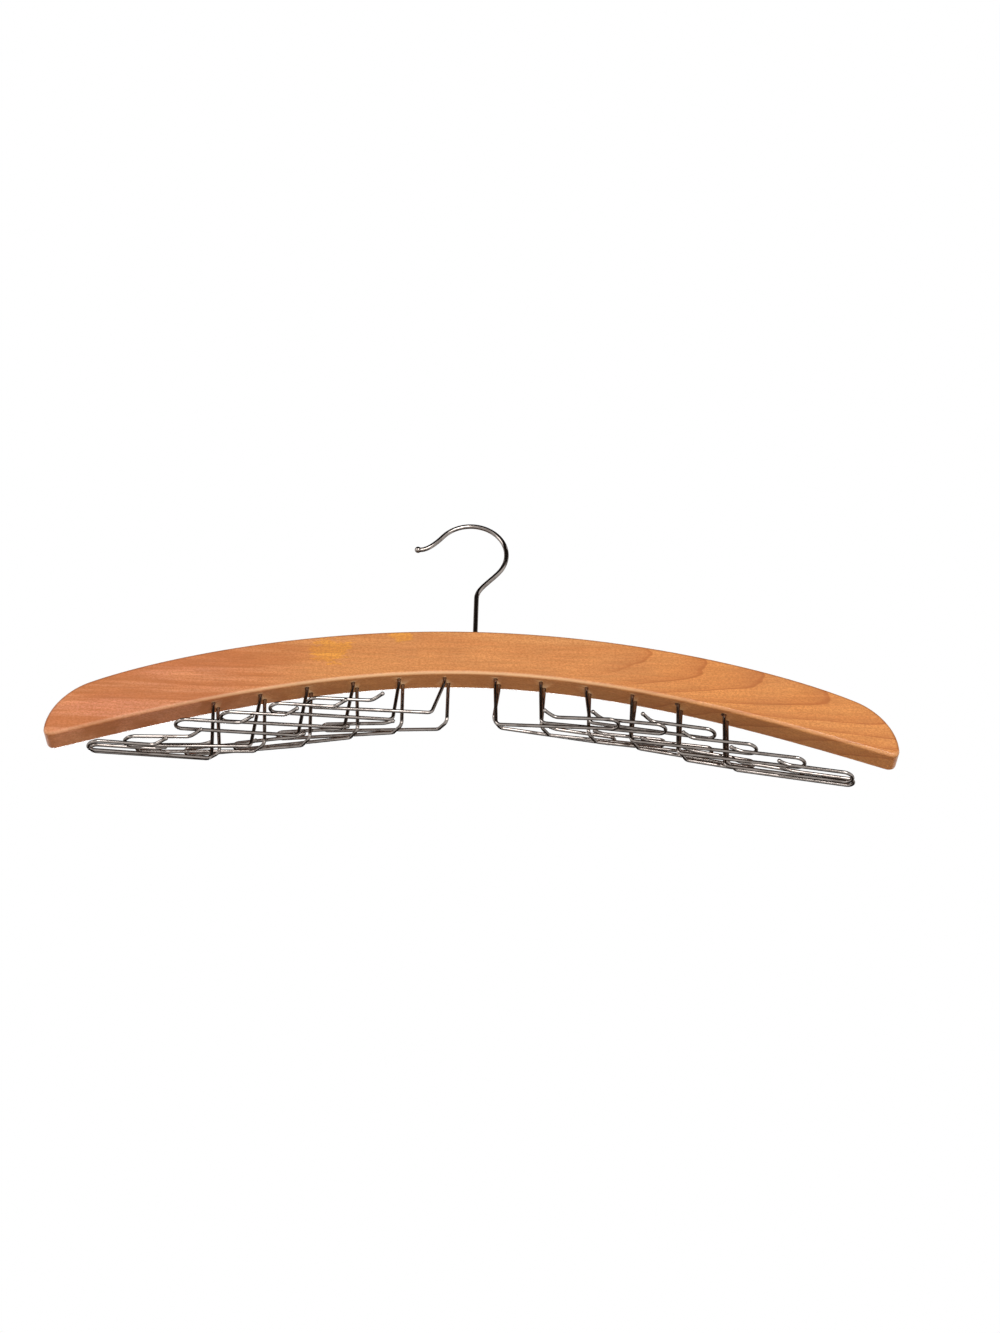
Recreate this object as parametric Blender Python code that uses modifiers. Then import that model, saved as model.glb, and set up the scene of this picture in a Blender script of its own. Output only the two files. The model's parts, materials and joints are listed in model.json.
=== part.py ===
"""Tie hanger: a curved wooden board under a wire hook, with two rows of wire
tie arms that hang from its underside and swing outward on their own legs.

Metres, Z up. X runs along the board, minus Y is the front. The world origin is
the point where the inside of the hook rests on a rail.
"""

import math

import bmesh
import bpy
from mathutils import Matrix, Vector

MM = 0.001

# Wooden board
BOARD_HALF_LENGTH = 222.5 * MM
BOARD_THICKNESS = 15.5 * MM
BOARD_EDGE_ROUND = 2.0 * MM
BOARD_MIDDLE_HEIGHT = 27.7 * MM

TOP_SHOULDER_INSET = 20.5 * MM
TOP_SHOULDER_DROP = 38.8 * MM
TOP_SHOULDER_SLOPE_DEG = 25.3
TOP_MIDDLE_HANDLE = 88.0 * MM
TOP_SHOULDER_HANDLE = 40.0 * MM

END_NOSE_DROP = 68.5 * MM
END_UPPER_HANDLE = 12.0 * MM
END_NOSE_UPPER_HANDLE = 13.0 * MM
END_NOSE_LOWER_HANDLE = 3.3 * MM
END_CORNER_HANDLE = 3.6 * MM

BOTTOM_CORNER_INSET = 6.0 * MM
BOTTOM_CORNER_DROP = 72.1 * MM
BOTTOM_CORNER_SLOPE_DEG = 18.2
BOTTOM_MIDDLE_HANDLE = 80.0 * MM
BOTTOM_CORNER_END_HANDLE = 60.0 * MM

# Tie arms: stations along the underside, two rows
STATIONS = 6
FIRST_STATION_X = 13.5 * MM
STATION_PITCH = 24.2 * MM
ROW_OFFSET = 2.8 * MM
ARM_WIRE_DIAMETER = 1.9 * MM
FRONT_ROW_SHIFT = 1.9 * MM
LEG_LENGTH = 28.0 * MM
LEG_SPLAY = 4.0 * MM
LEG_LEAN_SHARE = 0.25
LEG_NECK = 3.0 * MM
ARM_BEND_RADIUS = 3.0 * MM
ARM_REACH = 66.0 * MM
HAIRPIN_WIDTH = 9.0 * MM
RETURN_LENGTH = 37.0 * MM
TIP_LENGTH = 8.0 * MM
TIP_FLARE = 6.0 * MM
TIP_RISE = 1.2 * MM
JOG_LENGTH = 5.0 * MM
JOG_OFFSET = 7.0 * MM
JOG_BEND = 2.6 * MM
BACK_HAIRPIN_WIDTH = 6.5 * MM
BACK_TIP_FLARE = 1.2 * MM
BACK_TIP_RISE = 0.4 * MM

# How each leg is kept in the board
LEG_HEAD_DIAMETER = 3.4 * MM
LEG_HEAD_HEIGHT = 1.5 * MM
LEG_HEAD_CONE = 0.3 * MM
SLEEVE_WALL = 0.55 * MM
SLEEVE_LENGTH = 8.0 * MM
SLEEVE_RECESS = 0.6 * MM
PIVOT_CLEARANCE = 0.3 * MM
PRESS_CLEARANCE = 0.3 * MM

# Hook
HOOK_WIRE_DIAMETER = 2.6 * MM
HOOK_RADIUS = 19.8 * MM
HOOK_LEAN = 4.0 * MM
HOOK_CENTRE_HEIGHT = 56.6 * MM
HOOK_MOUTH_ANGLE_DEG = 142.0
HOOK_THROAT_ANGLE_DEG = -38.0
HOOK_TIP_REACH = 12.4 * MM
HOOK_TIP_DROP = 9.6 * MM
HOOK_TIP_HANDLE = 6.0 * MM
HOOK_TIP_END_HANDLE = 4.0 * MM
HOOK_STEM_TOP = 27.0 * MM
HOOK_THROAT_HANDLE = 9.0 * MM
HOOK_STEM_HANDLE = 6.0 * MM
HOOK_BALL_DIAMETER = 3.6 * MM
HOOK_SHANK_DEPTH = 18.0 * MM
HOOK_HEAD_DIAMETER = 4.6 * MM
HOOK_HEAD_HEIGHT = 2.0 * MM
SOCKET_WALL = 0.9 * MM
SOCKET_LENGTH = 14.0 * MM
SOCKET_RECESS = 0.4 * MM

# Each arm is bent a little differently from use. The tables count from the
# middle station to the end one.
# How far each leg goes down to its bend, in shares of the leg's length
LEG_LENGTH_SHARES = {
    "front_right": (1.02, 0.90, 0.77, 1.00, 1.07, 1.11),
    "back_right": (0.79, 0.87, 0.89, 0.86, 0.91, 0.89),
    "front_left": (0.82, 0.93, 1.04, 1.10, 1.18, 1.23),
    "back_left": (0.86, 0.90, 0.93, 0.99, 0.98, 0.97),
}
# How far each leg's foot stands off towards the board's end, in shares
LEG_SPLAY_SHARES = {
    "front_right": (0.30, 0.25, 0.64, 0.00, 0.20, 0.26),
    "back_right": (-0.55, -0.22, 0.04, -0.38, -0.05, 0.22),
    "front_left": (1.62, 0.71, 1.01, 1.03, 1.10, 0.00),
    "back_left": (0.04, 0.00, -0.23, 0.00, -0.14, -0.39),
}
# How far each front arm's free tip flares outward, in shares
TIP_FLARE_SHARES = {
    "front_right": (0.7, 0.7, 0.7, 0.5, 0.3, 0.3),
    "front_left": (0.8, 0.8, 0.8, 0.8, 0.8, 0.8),
}
# How steeply each arm runs down from level
ARM_SLOPES_DEG = {
    "front_right": (8.1, 9.2, 10.9, 10.3, 11.0, 11.6),
    "back_right": (2.4, 2.6, 3.3, 7.6, 7.3, 8.6),
    "front_left": (6.1, 7.6, 8.4, 10.2, 11.1, 10.9),
    "back_left": (0.7, 3.5, 5.9, 5.5, 6.3, 5.3),
}
# How each arm is turned outward from the line of the board
REST_TURN_DEG = {
    "front_right": (11.5, 7.2, 5.7, 7.4, 7.6, 7.0),
    "back_right": (8.7, 3.8, 3.5, 3.2, 3.0, -1.8),
    "front_left": (11.6, 15.5, 16.2, 19.7, 15.7, 22.3),
    "back_left": (3.1, 3.1, 4.8, 3.1, -7.1, -12.7),
}

# Finish of the mesh
WIRE_SIDES = 8
HOOK_SIDES = 12
BORE_SIDES = 12
CURVE_STEPS = 24
END_STEPS = 8
CORNER_STEPS = 4
BEND_STEPS = 4
HAIRPIN_STEPS = 8
TIP_STEPS = 3
HOOK_STEPS = 22
THROAT_STEPS = 7
EDGE_ROUND_STEPS = 3
EDGE_ANGLE_DEG = 50.0
WELD = 0.01 * MM
STRAIGHT = 0.01

TOP_SHOULDER_X = BOARD_HALF_LENGTH - TOP_SHOULDER_INSET
BOTTOM_CORNER_X = BOARD_HALF_LENGTH - BOTTOM_CORNER_INSET
BOARD_TOP_Z = HOOK_WIRE_DIAMETER / 2 - HOOK_CENTRE_HEIGHT - HOOK_RADIUS
LEG_RADIUS = ARM_WIRE_DIAMETER / 2
SLEEVE_INNER_RADIUS = LEG_RADIUS + PIVOT_CLEARANCE
SLEEVE_OUTER_RADIUS = SLEEVE_INNER_RADIUS + SLEEVE_WALL
ARM_BORE_RADIUS = SLEEVE_OUTER_RADIUS + PRESS_CLEARANCE
SLEEVE_TOP = SLEEVE_RECESS + SLEEVE_LENGTH
LEG_TOP = SLEEVE_TOP + PIVOT_CLEARANCE + LEG_HEAD_HEIGHT
ARM_BORE_DEPTH = LEG_TOP + PIVOT_CLEARANCE
SHANK_RADIUS = HOOK_WIRE_DIAMETER / 2
SOCKET_INNER_RADIUS = SHANK_RADIUS + PIVOT_CLEARANCE
SOCKET_OUTER_RADIUS = SOCKET_INNER_RADIUS + SOCKET_WALL
HOOK_BORE_RADIUS = SOCKET_OUTER_RADIUS + PRESS_CLEARANCE
HOOK_BORE_DEPTH = HOOK_SHANK_DEPTH + PIVOT_CLEARANCE


def bezier(points, steps):
    """Points along a cubic curve given by its four control points."""
    a, b, c, d = (Vector(p) for p in points)
    out = []
    for i in range(steps + 1):
        t = i / steps
        s = 1 - t
        out.append(s**3 * a + 3 * s * s * t * b + 3 * s * t * t * c + t**3 * d)
    return out


def bottom_controls():
    """Control points of the right half of the underside, from the middle out."""
    slope = math.radians(BOTTOM_CORNER_SLOPE_DEG)
    reach = BOTTOM_CORNER_END_HANDLE
    corner = Vector((BOTTOM_CORNER_X, -BOTTOM_CORNER_DROP))
    return [
        Vector((0, -BOARD_MIDDLE_HEIGHT)),
        Vector((BOTTOM_MIDDLE_HANDLE, -BOARD_MIDDLE_HEIGHT)),
        corner + reach * Vector((-math.cos(slope), math.sin(slope))),
        corner,
    ]


def half_outline():
    """Right half of the board's outline, from top middle round to bottom middle."""
    slope = math.radians(TOP_SHOULDER_SLOPE_DEG)
    along = Vector((math.cos(slope), -math.sin(slope)))
    shoulder = Vector((TOP_SHOULDER_X, -TOP_SHOULDER_DROP))
    nose = Vector((BOARD_HALF_LENGTH, -END_NOSE_DROP))
    low = math.radians(BOTTOM_CORNER_SLOPE_DEG)
    corner = Vector((BOTTOM_CORNER_X, -BOTTOM_CORNER_DROP))
    inward = Vector((math.cos(low), -math.sin(low)))
    down = Vector((0, -1))
    top = bezier(
        (
            Vector((0, 0)),
            Vector((TOP_MIDDLE_HANDLE, 0)),
            shoulder - TOP_SHOULDER_HANDLE * along,
            shoulder,
        ),
        CURVE_STEPS,
    )
    end = bezier(
        (
            shoulder,
            shoulder + END_UPPER_HANDLE * along,
            nose - END_NOSE_UPPER_HANDLE * down,
            nose,
        ),
        END_STEPS,
    )
    turn = bezier(
        (
            nose,
            nose + END_NOSE_LOWER_HANDLE * down,
            corner + END_CORNER_HANDLE * inward,
            corner,
        ),
        CORNER_STEPS,
    )
    bottom = bezier(bottom_controls(), CURVE_STEPS)[::-1]
    return top + end[1:] + turn[1:] + bottom[1:]


def station(number):
    """Where a station meets the underside, and the slope there, in radians."""
    target = FIRST_STATION_X + STATION_PITCH * number
    a, b, c, d = bottom_controls()
    low = 0.0
    high = 1.0
    for _ in range(60):
        t = (low + high) / 2
        s = 1 - t
        p = s**3 * a + 3 * s * s * t * b + 3 * s * t * t * c + t**3 * d
        if p.x < target:
            low = t
        else:
            high = t
    along = 3 * s * s * (b - a) + 6 * s * t * (c - b) + 3 * t * t * (d - c)
    return p, math.atan2(-along.y, along.x)


def material(name, colour, metallic, roughness):
    """A plain finish for one kind of piece."""
    made = bpy.data.materials.new(name)
    made.use_nodes = True
    shader = made.node_tree.nodes["Principled BSDF"]
    shader.inputs["Base Color"].default_value = (*colour, 1.0)
    shader.inputs["Metallic"].default_value = metallic
    shader.inputs["Roughness"].default_value = roughness
    made.diffuse_color = (*colour, 1.0)
    return made


def finish(name, mesh, surface, collection, angle):
    """Put a mesh in the collection as one named object with its own finish."""
    mesh.name = name
    mesh.materials.clear()
    mesh.materials.append(surface)
    work = bmesh.new()
    work.from_mesh(mesh)
    bmesh.ops.remove_doubles(work, verts=work.verts, dist=WELD)
    bmesh.ops.recalc_face_normals(work, faces=work.faces)
    for face in work.faces:
        face.smooth = True
    for edge in work.edges:
        bend = edge.calc_face_angle(0.0)
        edge.smooth = bend < math.radians(angle)
    work.to_mesh(mesh)
    work.free()
    piece = bpy.data.objects.new(name, mesh)
    collection.objects.link(piece)
    return piece


def curve_mesh(curve, scene_collection):
    """Turn a curve into a mesh of its own."""
    holder = bpy.data.objects.new(curve.name, curve)
    scene_collection.objects.link(holder)
    bpy.context.view_layer.update()
    graph = bpy.context.evaluated_depsgraph_get()
    mesh = bpy.data.meshes.new_from_object(holder.evaluated_get(graph))
    bpy.data.objects.remove(holder, do_unlink=True)
    bpy.data.curves.remove(curve)
    return mesh


def wire_mesh(name, points, radii, sides, scene_collection):
    """A round wire along points, as a bevelled curve with filled ends."""
    curve = bpy.data.curves.new(name, "CURVE")
    curve.dimensions = "3D"
    curve.twist_mode = "MINIMUM"
    curve.bevel_depth = max(radii)
    curve.bevel_resolution = (sides - 4) // 2
    curve.use_fill_caps = True
    spline = curve.splines.new("POLY")
    spline.points.add(len(points) - 1)
    for place, point, radius in zip(spline.points, points, radii):
        place.co = (*point, 1.0)
        place.radius = radius / max(radii)
    return curve_mesh(curve, scene_collection)


def board_mesh(scene_collection):
    """The board as a flat outline, thickened to a slab with one face a side."""
    half = half_outline()
    mirrored = [Vector((-p.x, p.y)) for p in half[1:-1]][::-1]
    outline = half + mirrored
    curve = bpy.data.curves.new("board_outline", "CURVE")
    curve.dimensions = "2D"
    curve.fill_mode = "BOTH"
    curve.extrude = BOARD_THICKNESS / 2
    spline = curve.splines.new("POLY")
    spline.points.add(len(outline) - 1)
    spline.use_cyclic_u = True
    for place, point in zip(spline.points, outline):
        place.co = (point.x, point.y, 0, 1.0)
    mesh = curve_mesh(curve, scene_collection)
    work = bmesh.new()
    work.from_mesh(mesh)
    bmesh.ops.remove_doubles(work, verts=work.verts, dist=WELD)
    bmesh.ops.recalc_face_normals(work, faces=work.faces)
    for way in (1, -1):
        flat = [f for f in work.faces if f.normal.z * way > 0.5]
        bmesh.ops.dissolve_faces(work, faces=flat)
    work.to_mesh(mesh)
    work.free()
    stand = Matrix.Rotation(math.pi / 2, 4, "X")
    mesh.transform(Matrix.Translation((HOOK_LEAN, 0, BOARD_TOP_Z)) @ stand)
    return mesh


def ring_mesh(name, inner, outer, low, high, sides):
    """A plain sleeve, turned from its section with the Screw modifier."""
    mesh = bpy.data.meshes.new(name)
    section = [(inner, 0, low), (outer, 0, low), (outer, 0, high), (inner, 0, high)]
    mesh.from_pydata(section, [(0, 1), (1, 2), (2, 3), (3, 0)], [])
    return turned(name, mesh, sides)


def turned(name, mesh, sides):
    """Turn a section about Z into a closed mesh."""
    holder = bpy.data.objects.new(name, mesh)
    bpy.context.scene.collection.objects.link(holder)
    screw = holder.modifiers.new("turn", "SCREW")
    screw.axis = "Z"
    screw.angle = 2 * math.pi
    screw.steps = sides
    screw.render_steps = sides
    screw.use_merge_vertices = True
    screw.merge_threshold = WELD
    bpy.context.view_layer.update()
    graph = bpy.context.evaluated_depsgraph_get()
    out = bpy.data.meshes.new_from_object(holder.evaluated_get(graph))
    bpy.data.objects.remove(holder, do_unlink=True)
    return out


def cutter(name, radius, depth, above, place, collection):
    """A round cutter going depth into the board along its own Z."""
    mesh = bpy.data.meshes.new(name)
    section = [(0, 0, -above), (radius, 0, -above), (radius, 0, depth), (0, 0, depth)]
    mesh.from_pydata(section, [(0, 1), (1, 2), (2, 3)], [])
    out = turned(name, mesh, BORE_SIDES)
    work = bmesh.new()
    work.from_mesh(out)
    bmesh.ops.remove_doubles(work, verts=work.verts, dist=WELD)
    bmesh.ops.recalc_face_normals(work, faces=work.faces)
    work.to_mesh(out)
    work.free()
    tool = bpy.data.objects.new(name, out)
    tool.matrix_world = place
    tool.hide_render = True
    tool.display_type = "WIRE"
    collection.objects.link(tool)
    return tool


def leg_frame(side, row, number):
    """The frame of one leg: origin at the underside, Z up along the leg, X outward."""
    place, slope = station(number)
    turn = Matrix.Rotation(0 if side > 0 else math.pi, 4, "Z")
    lean = Matrix.Rotation(slope * LEG_LEAN_SHARE, 4, "Y")
    shift = FRONT_ROW_SHIFT if row < 0 else 0
    along = HOOK_LEAN - shift + side * place.x
    at = Vector((along, row * ROW_OFFSET, BOARD_TOP_Z + place.y))
    return Matrix.Translation(at) @ turn @ lean


def rounded(before, corner, after, radius, steps):
    """Points round a corner between two straight stretches of wire."""
    back = (before - corner).normalized()
    ahead = (after - corner).normalized()
    half = back.angle(ahead) / 2
    if math.cos(half) < STRAIGHT:
        return [corner]
    cut = radius / math.tan(half)
    centre = corner + (back + ahead).normalized() * (radius / math.sin(half))
    start = corner + back * cut - centre
    finish_at = corner + ahead * cut - centre
    axis = start.cross(finish_at).normalized()
    sweep = start.angle(finish_at)
    out = []
    for i in range(steps + 1):
        out.append(centre + Matrix.Rotation(sweep * i / steps, 3, axis) @ start)
    return out


def arm_points(row_name, number, hand, jogged):
    """Centreline and radii of one arm in its leg's frame.

    A plain arm runs out straight from its leg and returns on the hand side. A
    jogged arm first steps over to the hand side and returns on its inner side.
    """
    slope = station(number)[1] * LEG_LEAN_SHARE
    drop = math.radians(ARM_SLOPES_DEG[row_name][number]) - slope
    splay = LEG_SPLAY * LEG_SPLAY_SHARES[row_name][number]
    leg = LEG_LENGTH * LEG_LENGTH_SHARES[row_name][number]
    out = Vector((math.cos(drop), 0, -math.sin(drop)))
    side = Vector((0, hand, 0))
    up = Vector((0, 0, 1))
    head = LEG_HEAD_DIAMETER / 2
    points = [up * LEG_TOP, up * (LEG_TOP - LEG_HEAD_HEIGHT + LEG_HEAD_CONE)]
    points.append(up * (LEG_TOP - LEG_HEAD_HEIGHT))
    radii = [head, head, LEG_RADIUS]
    neck = Vector((0, 0, -LEG_NECK))
    bottom = Vector((splay, 0, -leg))
    points += rounded(up * 0, neck, bottom, LEG_NECK, BEND_STEPS // 2)
    if jogged:
        width = BACK_HAIRPIN_WIDTH
        flare = side * -BACK_TIP_FLARE + up * BACK_TIP_RISE
        start = bottom + out * JOG_LENGTH + side * JOG_OFFSET
        end = start + out * (ARM_REACH - JOG_LENGTH)
        points += rounded(neck, bottom, start, JOG_BEND, BEND_STEPS)
        points += rounded(bottom, start, end, JOG_BEND, BEND_STEPS // 2)
        across = -side
    else:
        width = HAIRPIN_WIDTH
        share = TIP_FLARE_SHARES[row_name][number]
        flare = (side * TIP_FLARE + up * TIP_RISE) * share
        end = bottom + out * ARM_REACH
        points += rounded(neck, bottom, end, ARM_BEND_RADIUS, BEND_STEPS)
        across = side
    loop = width / 2
    eye = end - out * loop + across * loop
    for i in range(HAIRPIN_STEPS + 1):
        a = math.pi * i / HAIRPIN_STEPS
        points.append(eye + loop * (math.sin(a) * out - math.cos(a) * across))
    bend = end + across * width - out * (RETURN_LENGTH - TIP_LENGTH)
    tip = bend - out * TIP_LENGTH + flare
    handle = TIP_LENGTH / 2
    points += bezier((bend, bend - out * handle, bend - out * handle, tip), TIP_STEPS)
    radii += [LEG_RADIUS] * (len(points) - len(radii))
    return points, radii


def hook_points():
    """Centreline and radii of the hook, from its tip to the head under the socket."""
    centre = Vector((0, 0, HOOK_CENTRE_HEIGHT))
    mouth = math.radians(HOOK_MOUTH_ANGLE_DEG)
    throat = math.radians(HOOK_THROAT_ANGLE_DEG)
    start = centre + HOOK_RADIUS * Vector((math.cos(mouth), 0, math.sin(mouth)))
    away = Vector((-math.sin(mouth), 0, math.cos(mouth)))
    tip = start + Vector((-HOOK_TIP_REACH, 0, -HOOK_TIP_DROP))
    wire = HOOK_WIRE_DIAMETER / 2
    points = bezier(
        (
            tip,
            tip + Vector((HOOK_TIP_END_HANDLE, 0, 0)),
            start + HOOK_TIP_HANDLE * away,
            start,
        ),
        THROAT_STEPS,
    )
    for i in range(1, HOOK_STEPS + 1):
        a = mouth + (throat - mouth) * i / HOOK_STEPS
        points.append(centre + HOOK_RADIUS * Vector((math.cos(a), 0, math.sin(a))))
    stem = Vector((HOOK_LEAN, 0, HOOK_STEM_TOP))
    inward = Vector((math.sin(throat), 0, -math.cos(throat)))
    points += bezier(
        (
            points[-1],
            points[-1] + HOOK_THROAT_HANDLE * inward,
            stem + Vector((0, 0, HOOK_STEM_HANDLE)),
            stem,
        ),
        THROAT_STEPS,
    )[1:]
    radii = [wire] * len(points)
    head_top = HOOK_SHANK_DEPTH - HOOK_HEAD_HEIGHT
    for depth, radius in (
        (head_top, wire),
        (head_top + LEG_HEAD_CONE, HOOK_HEAD_DIAMETER / 2),
        (HOOK_SHANK_DEPTH, HOOK_HEAD_DIAMETER / 2),
    ):
        points.append(Vector((HOOK_LEAN, 0, -depth)))
        radii.append(radius)
    return points, radii


def hook_piece(surface, collection, scene_collection):
    """The hook with its ball tip, its origin on the stem's axis."""
    points, radii = hook_points()
    ball = HOOK_BALL_DIAMETER / 2
    first = points[0]
    back = (first - points[1]).normalized()
    shape = []
    for i in range(6):
        a = math.pi * (i + 1) / 7
        reach = ball * (math.cos(a) + 1)
        shape.append((first + back * reach, ball * math.sin(a)))
    wire = HOOK_WIRE_DIAMETER / 2
    shape = [(p, r) for p, r in shape if (p - first).length > ball or r > wire]
    line = [p for p, _ in shape] + points
    thick = [r for _, r in shape] + radii
    top = Vector((HOOK_LEAN, 0, 0))
    line = [p - top for p in line]
    mesh = wire_mesh("hook", line, thick, HOOK_SIDES, scene_collection)
    piece = finish("hook", mesh, surface, collection, 40)
    piece.location = (HOOK_LEAN, 0, BOARD_TOP_Z)
    return piece


def build():
    """Build every piece and put it in its place."""
    for old in list(bpy.data.objects):
        bpy.data.objects.remove(old, do_unlink=True)
    scene_collection = bpy.context.scene.collection
    collection = bpy.data.collections.new("tie_hanger")
    tools = bpy.data.collections.new("cutters")
    scene_collection.children.link(collection)
    scene_collection.children.link(tools)

    wood = material("varnished_wood", (0.62, 0.29, 0.10), 0.0, 0.35)
    chrome = material("plated_wire", (0.62, 0.61, 0.60), 1.0, 0.16)
    steel = material("pressed_sleeve", (0.38, 0.37, 0.36), 1.0, 0.38)
    brass = material("hook_socket_metal", (0.58, 0.46, 0.24), 1.0, 0.34)

    board = finish("board", board_mesh(scene_collection), wood, collection, 35)
    ease = board.modifiers.new("eased_edges", "BEVEL")
    ease.width = BOARD_EDGE_ROUND
    ease.segments = EDGE_ROUND_STEPS
    ease.limit_method = "ANGLE"
    ease.angle_limit = math.radians(EDGE_ANGLE_DEG)
    ease.use_clamp_overlap = False
    cuts = []
    down = Matrix.Rotation(math.pi, 4, "X")
    top = Matrix.Translation((HOOK_LEAN, 0, BOARD_TOP_Z))
    cuts.append(
        cutter(
            "cut_hook", HOOK_BORE_RADIUS, HOOK_BORE_DEPTH, SOCKET_WALL, top @ down, tools
        )
    )
    hook_piece(chrome, collection, scene_collection)
    socket = finish(
        "hook_socket",
        ring_mesh(
            "hook_socket",
            SOCKET_INNER_RADIUS,
            SOCKET_OUTER_RADIUS,
            -SOCKET_RECESS - SOCKET_LENGTH,
            -SOCKET_RECESS,
            HOOK_SIDES,
        ),
        brass,
        collection,
        35,
    )
    socket.location = (HOOK_LEAN, 0, BOARD_TOP_Z)

    for row, row_name in ((-1, "front"), (1, "back")):
        for side, side_name in ((1, "right"), (-1, "left")):
            for number in range(STATIONS):
                line = f"{row_name}_{side_name}"
                place = f"{line}_{number + 1}"
                frame = leg_frame(side, row, number)
                hand = row * side
                points, radii = arm_points(line, number, hand, row > 0)
                mesh = wire_mesh(
                    f"arm_{place}", points, radii, WIRE_SIDES, scene_collection
                )
                arm = finish(f"arm_{place}", mesh, chrome, collection, 40)
                turn = math.radians(REST_TURN_DEG[line][number])
                arm.matrix_world = frame @ Matrix.Rotation(hand * turn, 4, "Z")
                sleeve = finish(
                    f"sleeve_{place}",
                    ring_mesh(
                        f"sleeve_{place}",
                        SLEEVE_INNER_RADIUS,
                        SLEEVE_OUTER_RADIUS,
                        SLEEVE_RECESS,
                        SLEEVE_TOP,
                        BORE_SIDES,
                    ),
                    steel,
                    collection,
                    35,
                )
                sleeve.matrix_world = frame
                cuts.append(
                    cutter(
                        f"cut_{place}",
                        ARM_BORE_RADIUS,
                        ARM_BORE_DEPTH,
                        SLEEVE_LENGTH / 4,
                        frame,
                        tools,
                    )
                )
    for tool in cuts:
        cut = board.modifiers.new(tool.name, "BOOLEAN")
        cut.operation = "DIFFERENCE"
        cut.solver = "EXACT"
        cut.object = tool


build()
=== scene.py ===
"""Looks of a wooden tie hanger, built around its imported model.

Metres, Z up. X runs along the board and minus Y is the front. The origin is the
point where the inside of the hook rests on a rail.
"""

import json
import logging
import math
from dataclasses import dataclass, field
from enum import Enum
from itertools import product
from typing import Iterable, Sequence

import bpy
from mathutils import Matrix, Vector

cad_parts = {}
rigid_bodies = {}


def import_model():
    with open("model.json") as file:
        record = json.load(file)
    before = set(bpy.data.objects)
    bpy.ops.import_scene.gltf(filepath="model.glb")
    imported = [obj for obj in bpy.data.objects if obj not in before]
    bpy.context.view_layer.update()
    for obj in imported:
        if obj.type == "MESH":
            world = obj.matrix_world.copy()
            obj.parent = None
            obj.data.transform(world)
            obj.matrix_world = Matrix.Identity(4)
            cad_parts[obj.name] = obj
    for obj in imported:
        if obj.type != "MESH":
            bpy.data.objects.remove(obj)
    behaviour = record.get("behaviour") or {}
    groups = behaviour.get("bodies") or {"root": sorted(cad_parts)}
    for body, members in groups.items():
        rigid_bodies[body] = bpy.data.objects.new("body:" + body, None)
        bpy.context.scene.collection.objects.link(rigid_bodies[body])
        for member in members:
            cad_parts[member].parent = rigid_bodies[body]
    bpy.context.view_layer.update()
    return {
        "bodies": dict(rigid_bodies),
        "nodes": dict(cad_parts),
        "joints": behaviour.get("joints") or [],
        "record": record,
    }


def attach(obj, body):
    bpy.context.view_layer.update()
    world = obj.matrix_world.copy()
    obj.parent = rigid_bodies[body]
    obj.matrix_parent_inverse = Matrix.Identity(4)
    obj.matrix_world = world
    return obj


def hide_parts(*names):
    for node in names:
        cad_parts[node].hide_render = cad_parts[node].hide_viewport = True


MM = 0.001
WELD = 0.002 * MM
EASED = "eased_edge"
UNDERSIDE = "underside"
HALF = 0.5
WHITE = (1.0, 1.0, 1.0, 1.0)

Triple = tuple[float, float, float]
Colour = tuple[float, float, float, float]
Socket = bpy.types.NodeSocket
Input = Socket | float | Sequence[float]

log = logging.getLogger("tie_hanger")


class Row(Enum):
    """The two rows of tie arms, with the sign of their Y."""

    FRONT = -1
    BACK = 1


class Side(Enum):
    """The two halves of the board, with the sign of their X."""

    RIGHT = 1
    LEFT = -1


class Slot(Enum):
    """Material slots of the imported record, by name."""

    WOOD = "varnished_wood"
    WIRE = "plated_wire"


Shares = dict[tuple[Row, Side], tuple[float, ...]]


def srgb(red: float, green: float, blue: float) -> Colour:
    """Turn a colour given on a screen into a linear one, by the standard curve.

    Args:
        red: Red, 0 to 255.
        green: Green, 0 to 255.
        blue: Blue, 0 to 255.

    Returns:
        The linear colour with an alpha of 1.
    """
    linear = []
    for value in (red, green, blue):
        share = value / 255
        low = share / 12.92
        high = ((share + 0.055) / 1.055) ** 2.4
        linear.append(low if share <= 0.04045 else high)
    return (*linear, 1.0)


def on_curve(points: Sequence[Vector], t: float) -> Vector:
    """Find a point of a cubic curve.

    Args:
        points: The curve's four control points.
        t: How far along it lies, from 0 to 1.

    Returns:
        The point.
    """
    a, b, c, d = points
    s = 1 - t
    return s**3 * a + 3 * s * s * t * b + 3 * s * t * t * c + t**3 * d


def bezier(points: Sequence[Vector], steps: int) -> list[Vector]:
    """Sample a cubic curve.

    Args:
        points: Its four control points.
        steps: How many stretches it is cut into.

    Returns:
        The points along it, both ends included.
    """
    return [on_curve(points, i / steps) for i in range(steps + 1)]


def clear_selection() -> None:
    """Leave edit mode and select nothing."""
    if bpy.context.object and bpy.context.object.mode != "OBJECT":
        bpy.ops.object.mode_set(mode="OBJECT")
    bpy.ops.object.select_all(action="DESELECT")


def close_shape(piece: bpy.types.Object, angle_deg: float) -> None:
    """Merge doubles, turn the faces outward and shade the piece.

    Args:
        piece: The mesh object, in object mode.
        angle_deg: Edges that bend more than this stay sharp.
    """
    clear_selection()
    piece.select_set(True)
    bpy.context.view_layer.objects.active = piece
    bpy.ops.object.mode_set(mode="EDIT")
    bpy.ops.mesh.select_all(action="SELECT")
    bpy.ops.mesh.remove_doubles(threshold=WELD)
    bpy.ops.mesh.normals_make_consistent(inside=False)
    bpy.ops.object.mode_set(mode="OBJECT")
    bpy.ops.object.shade_smooth_by_angle(angle=math.radians(angle_deg))


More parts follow.
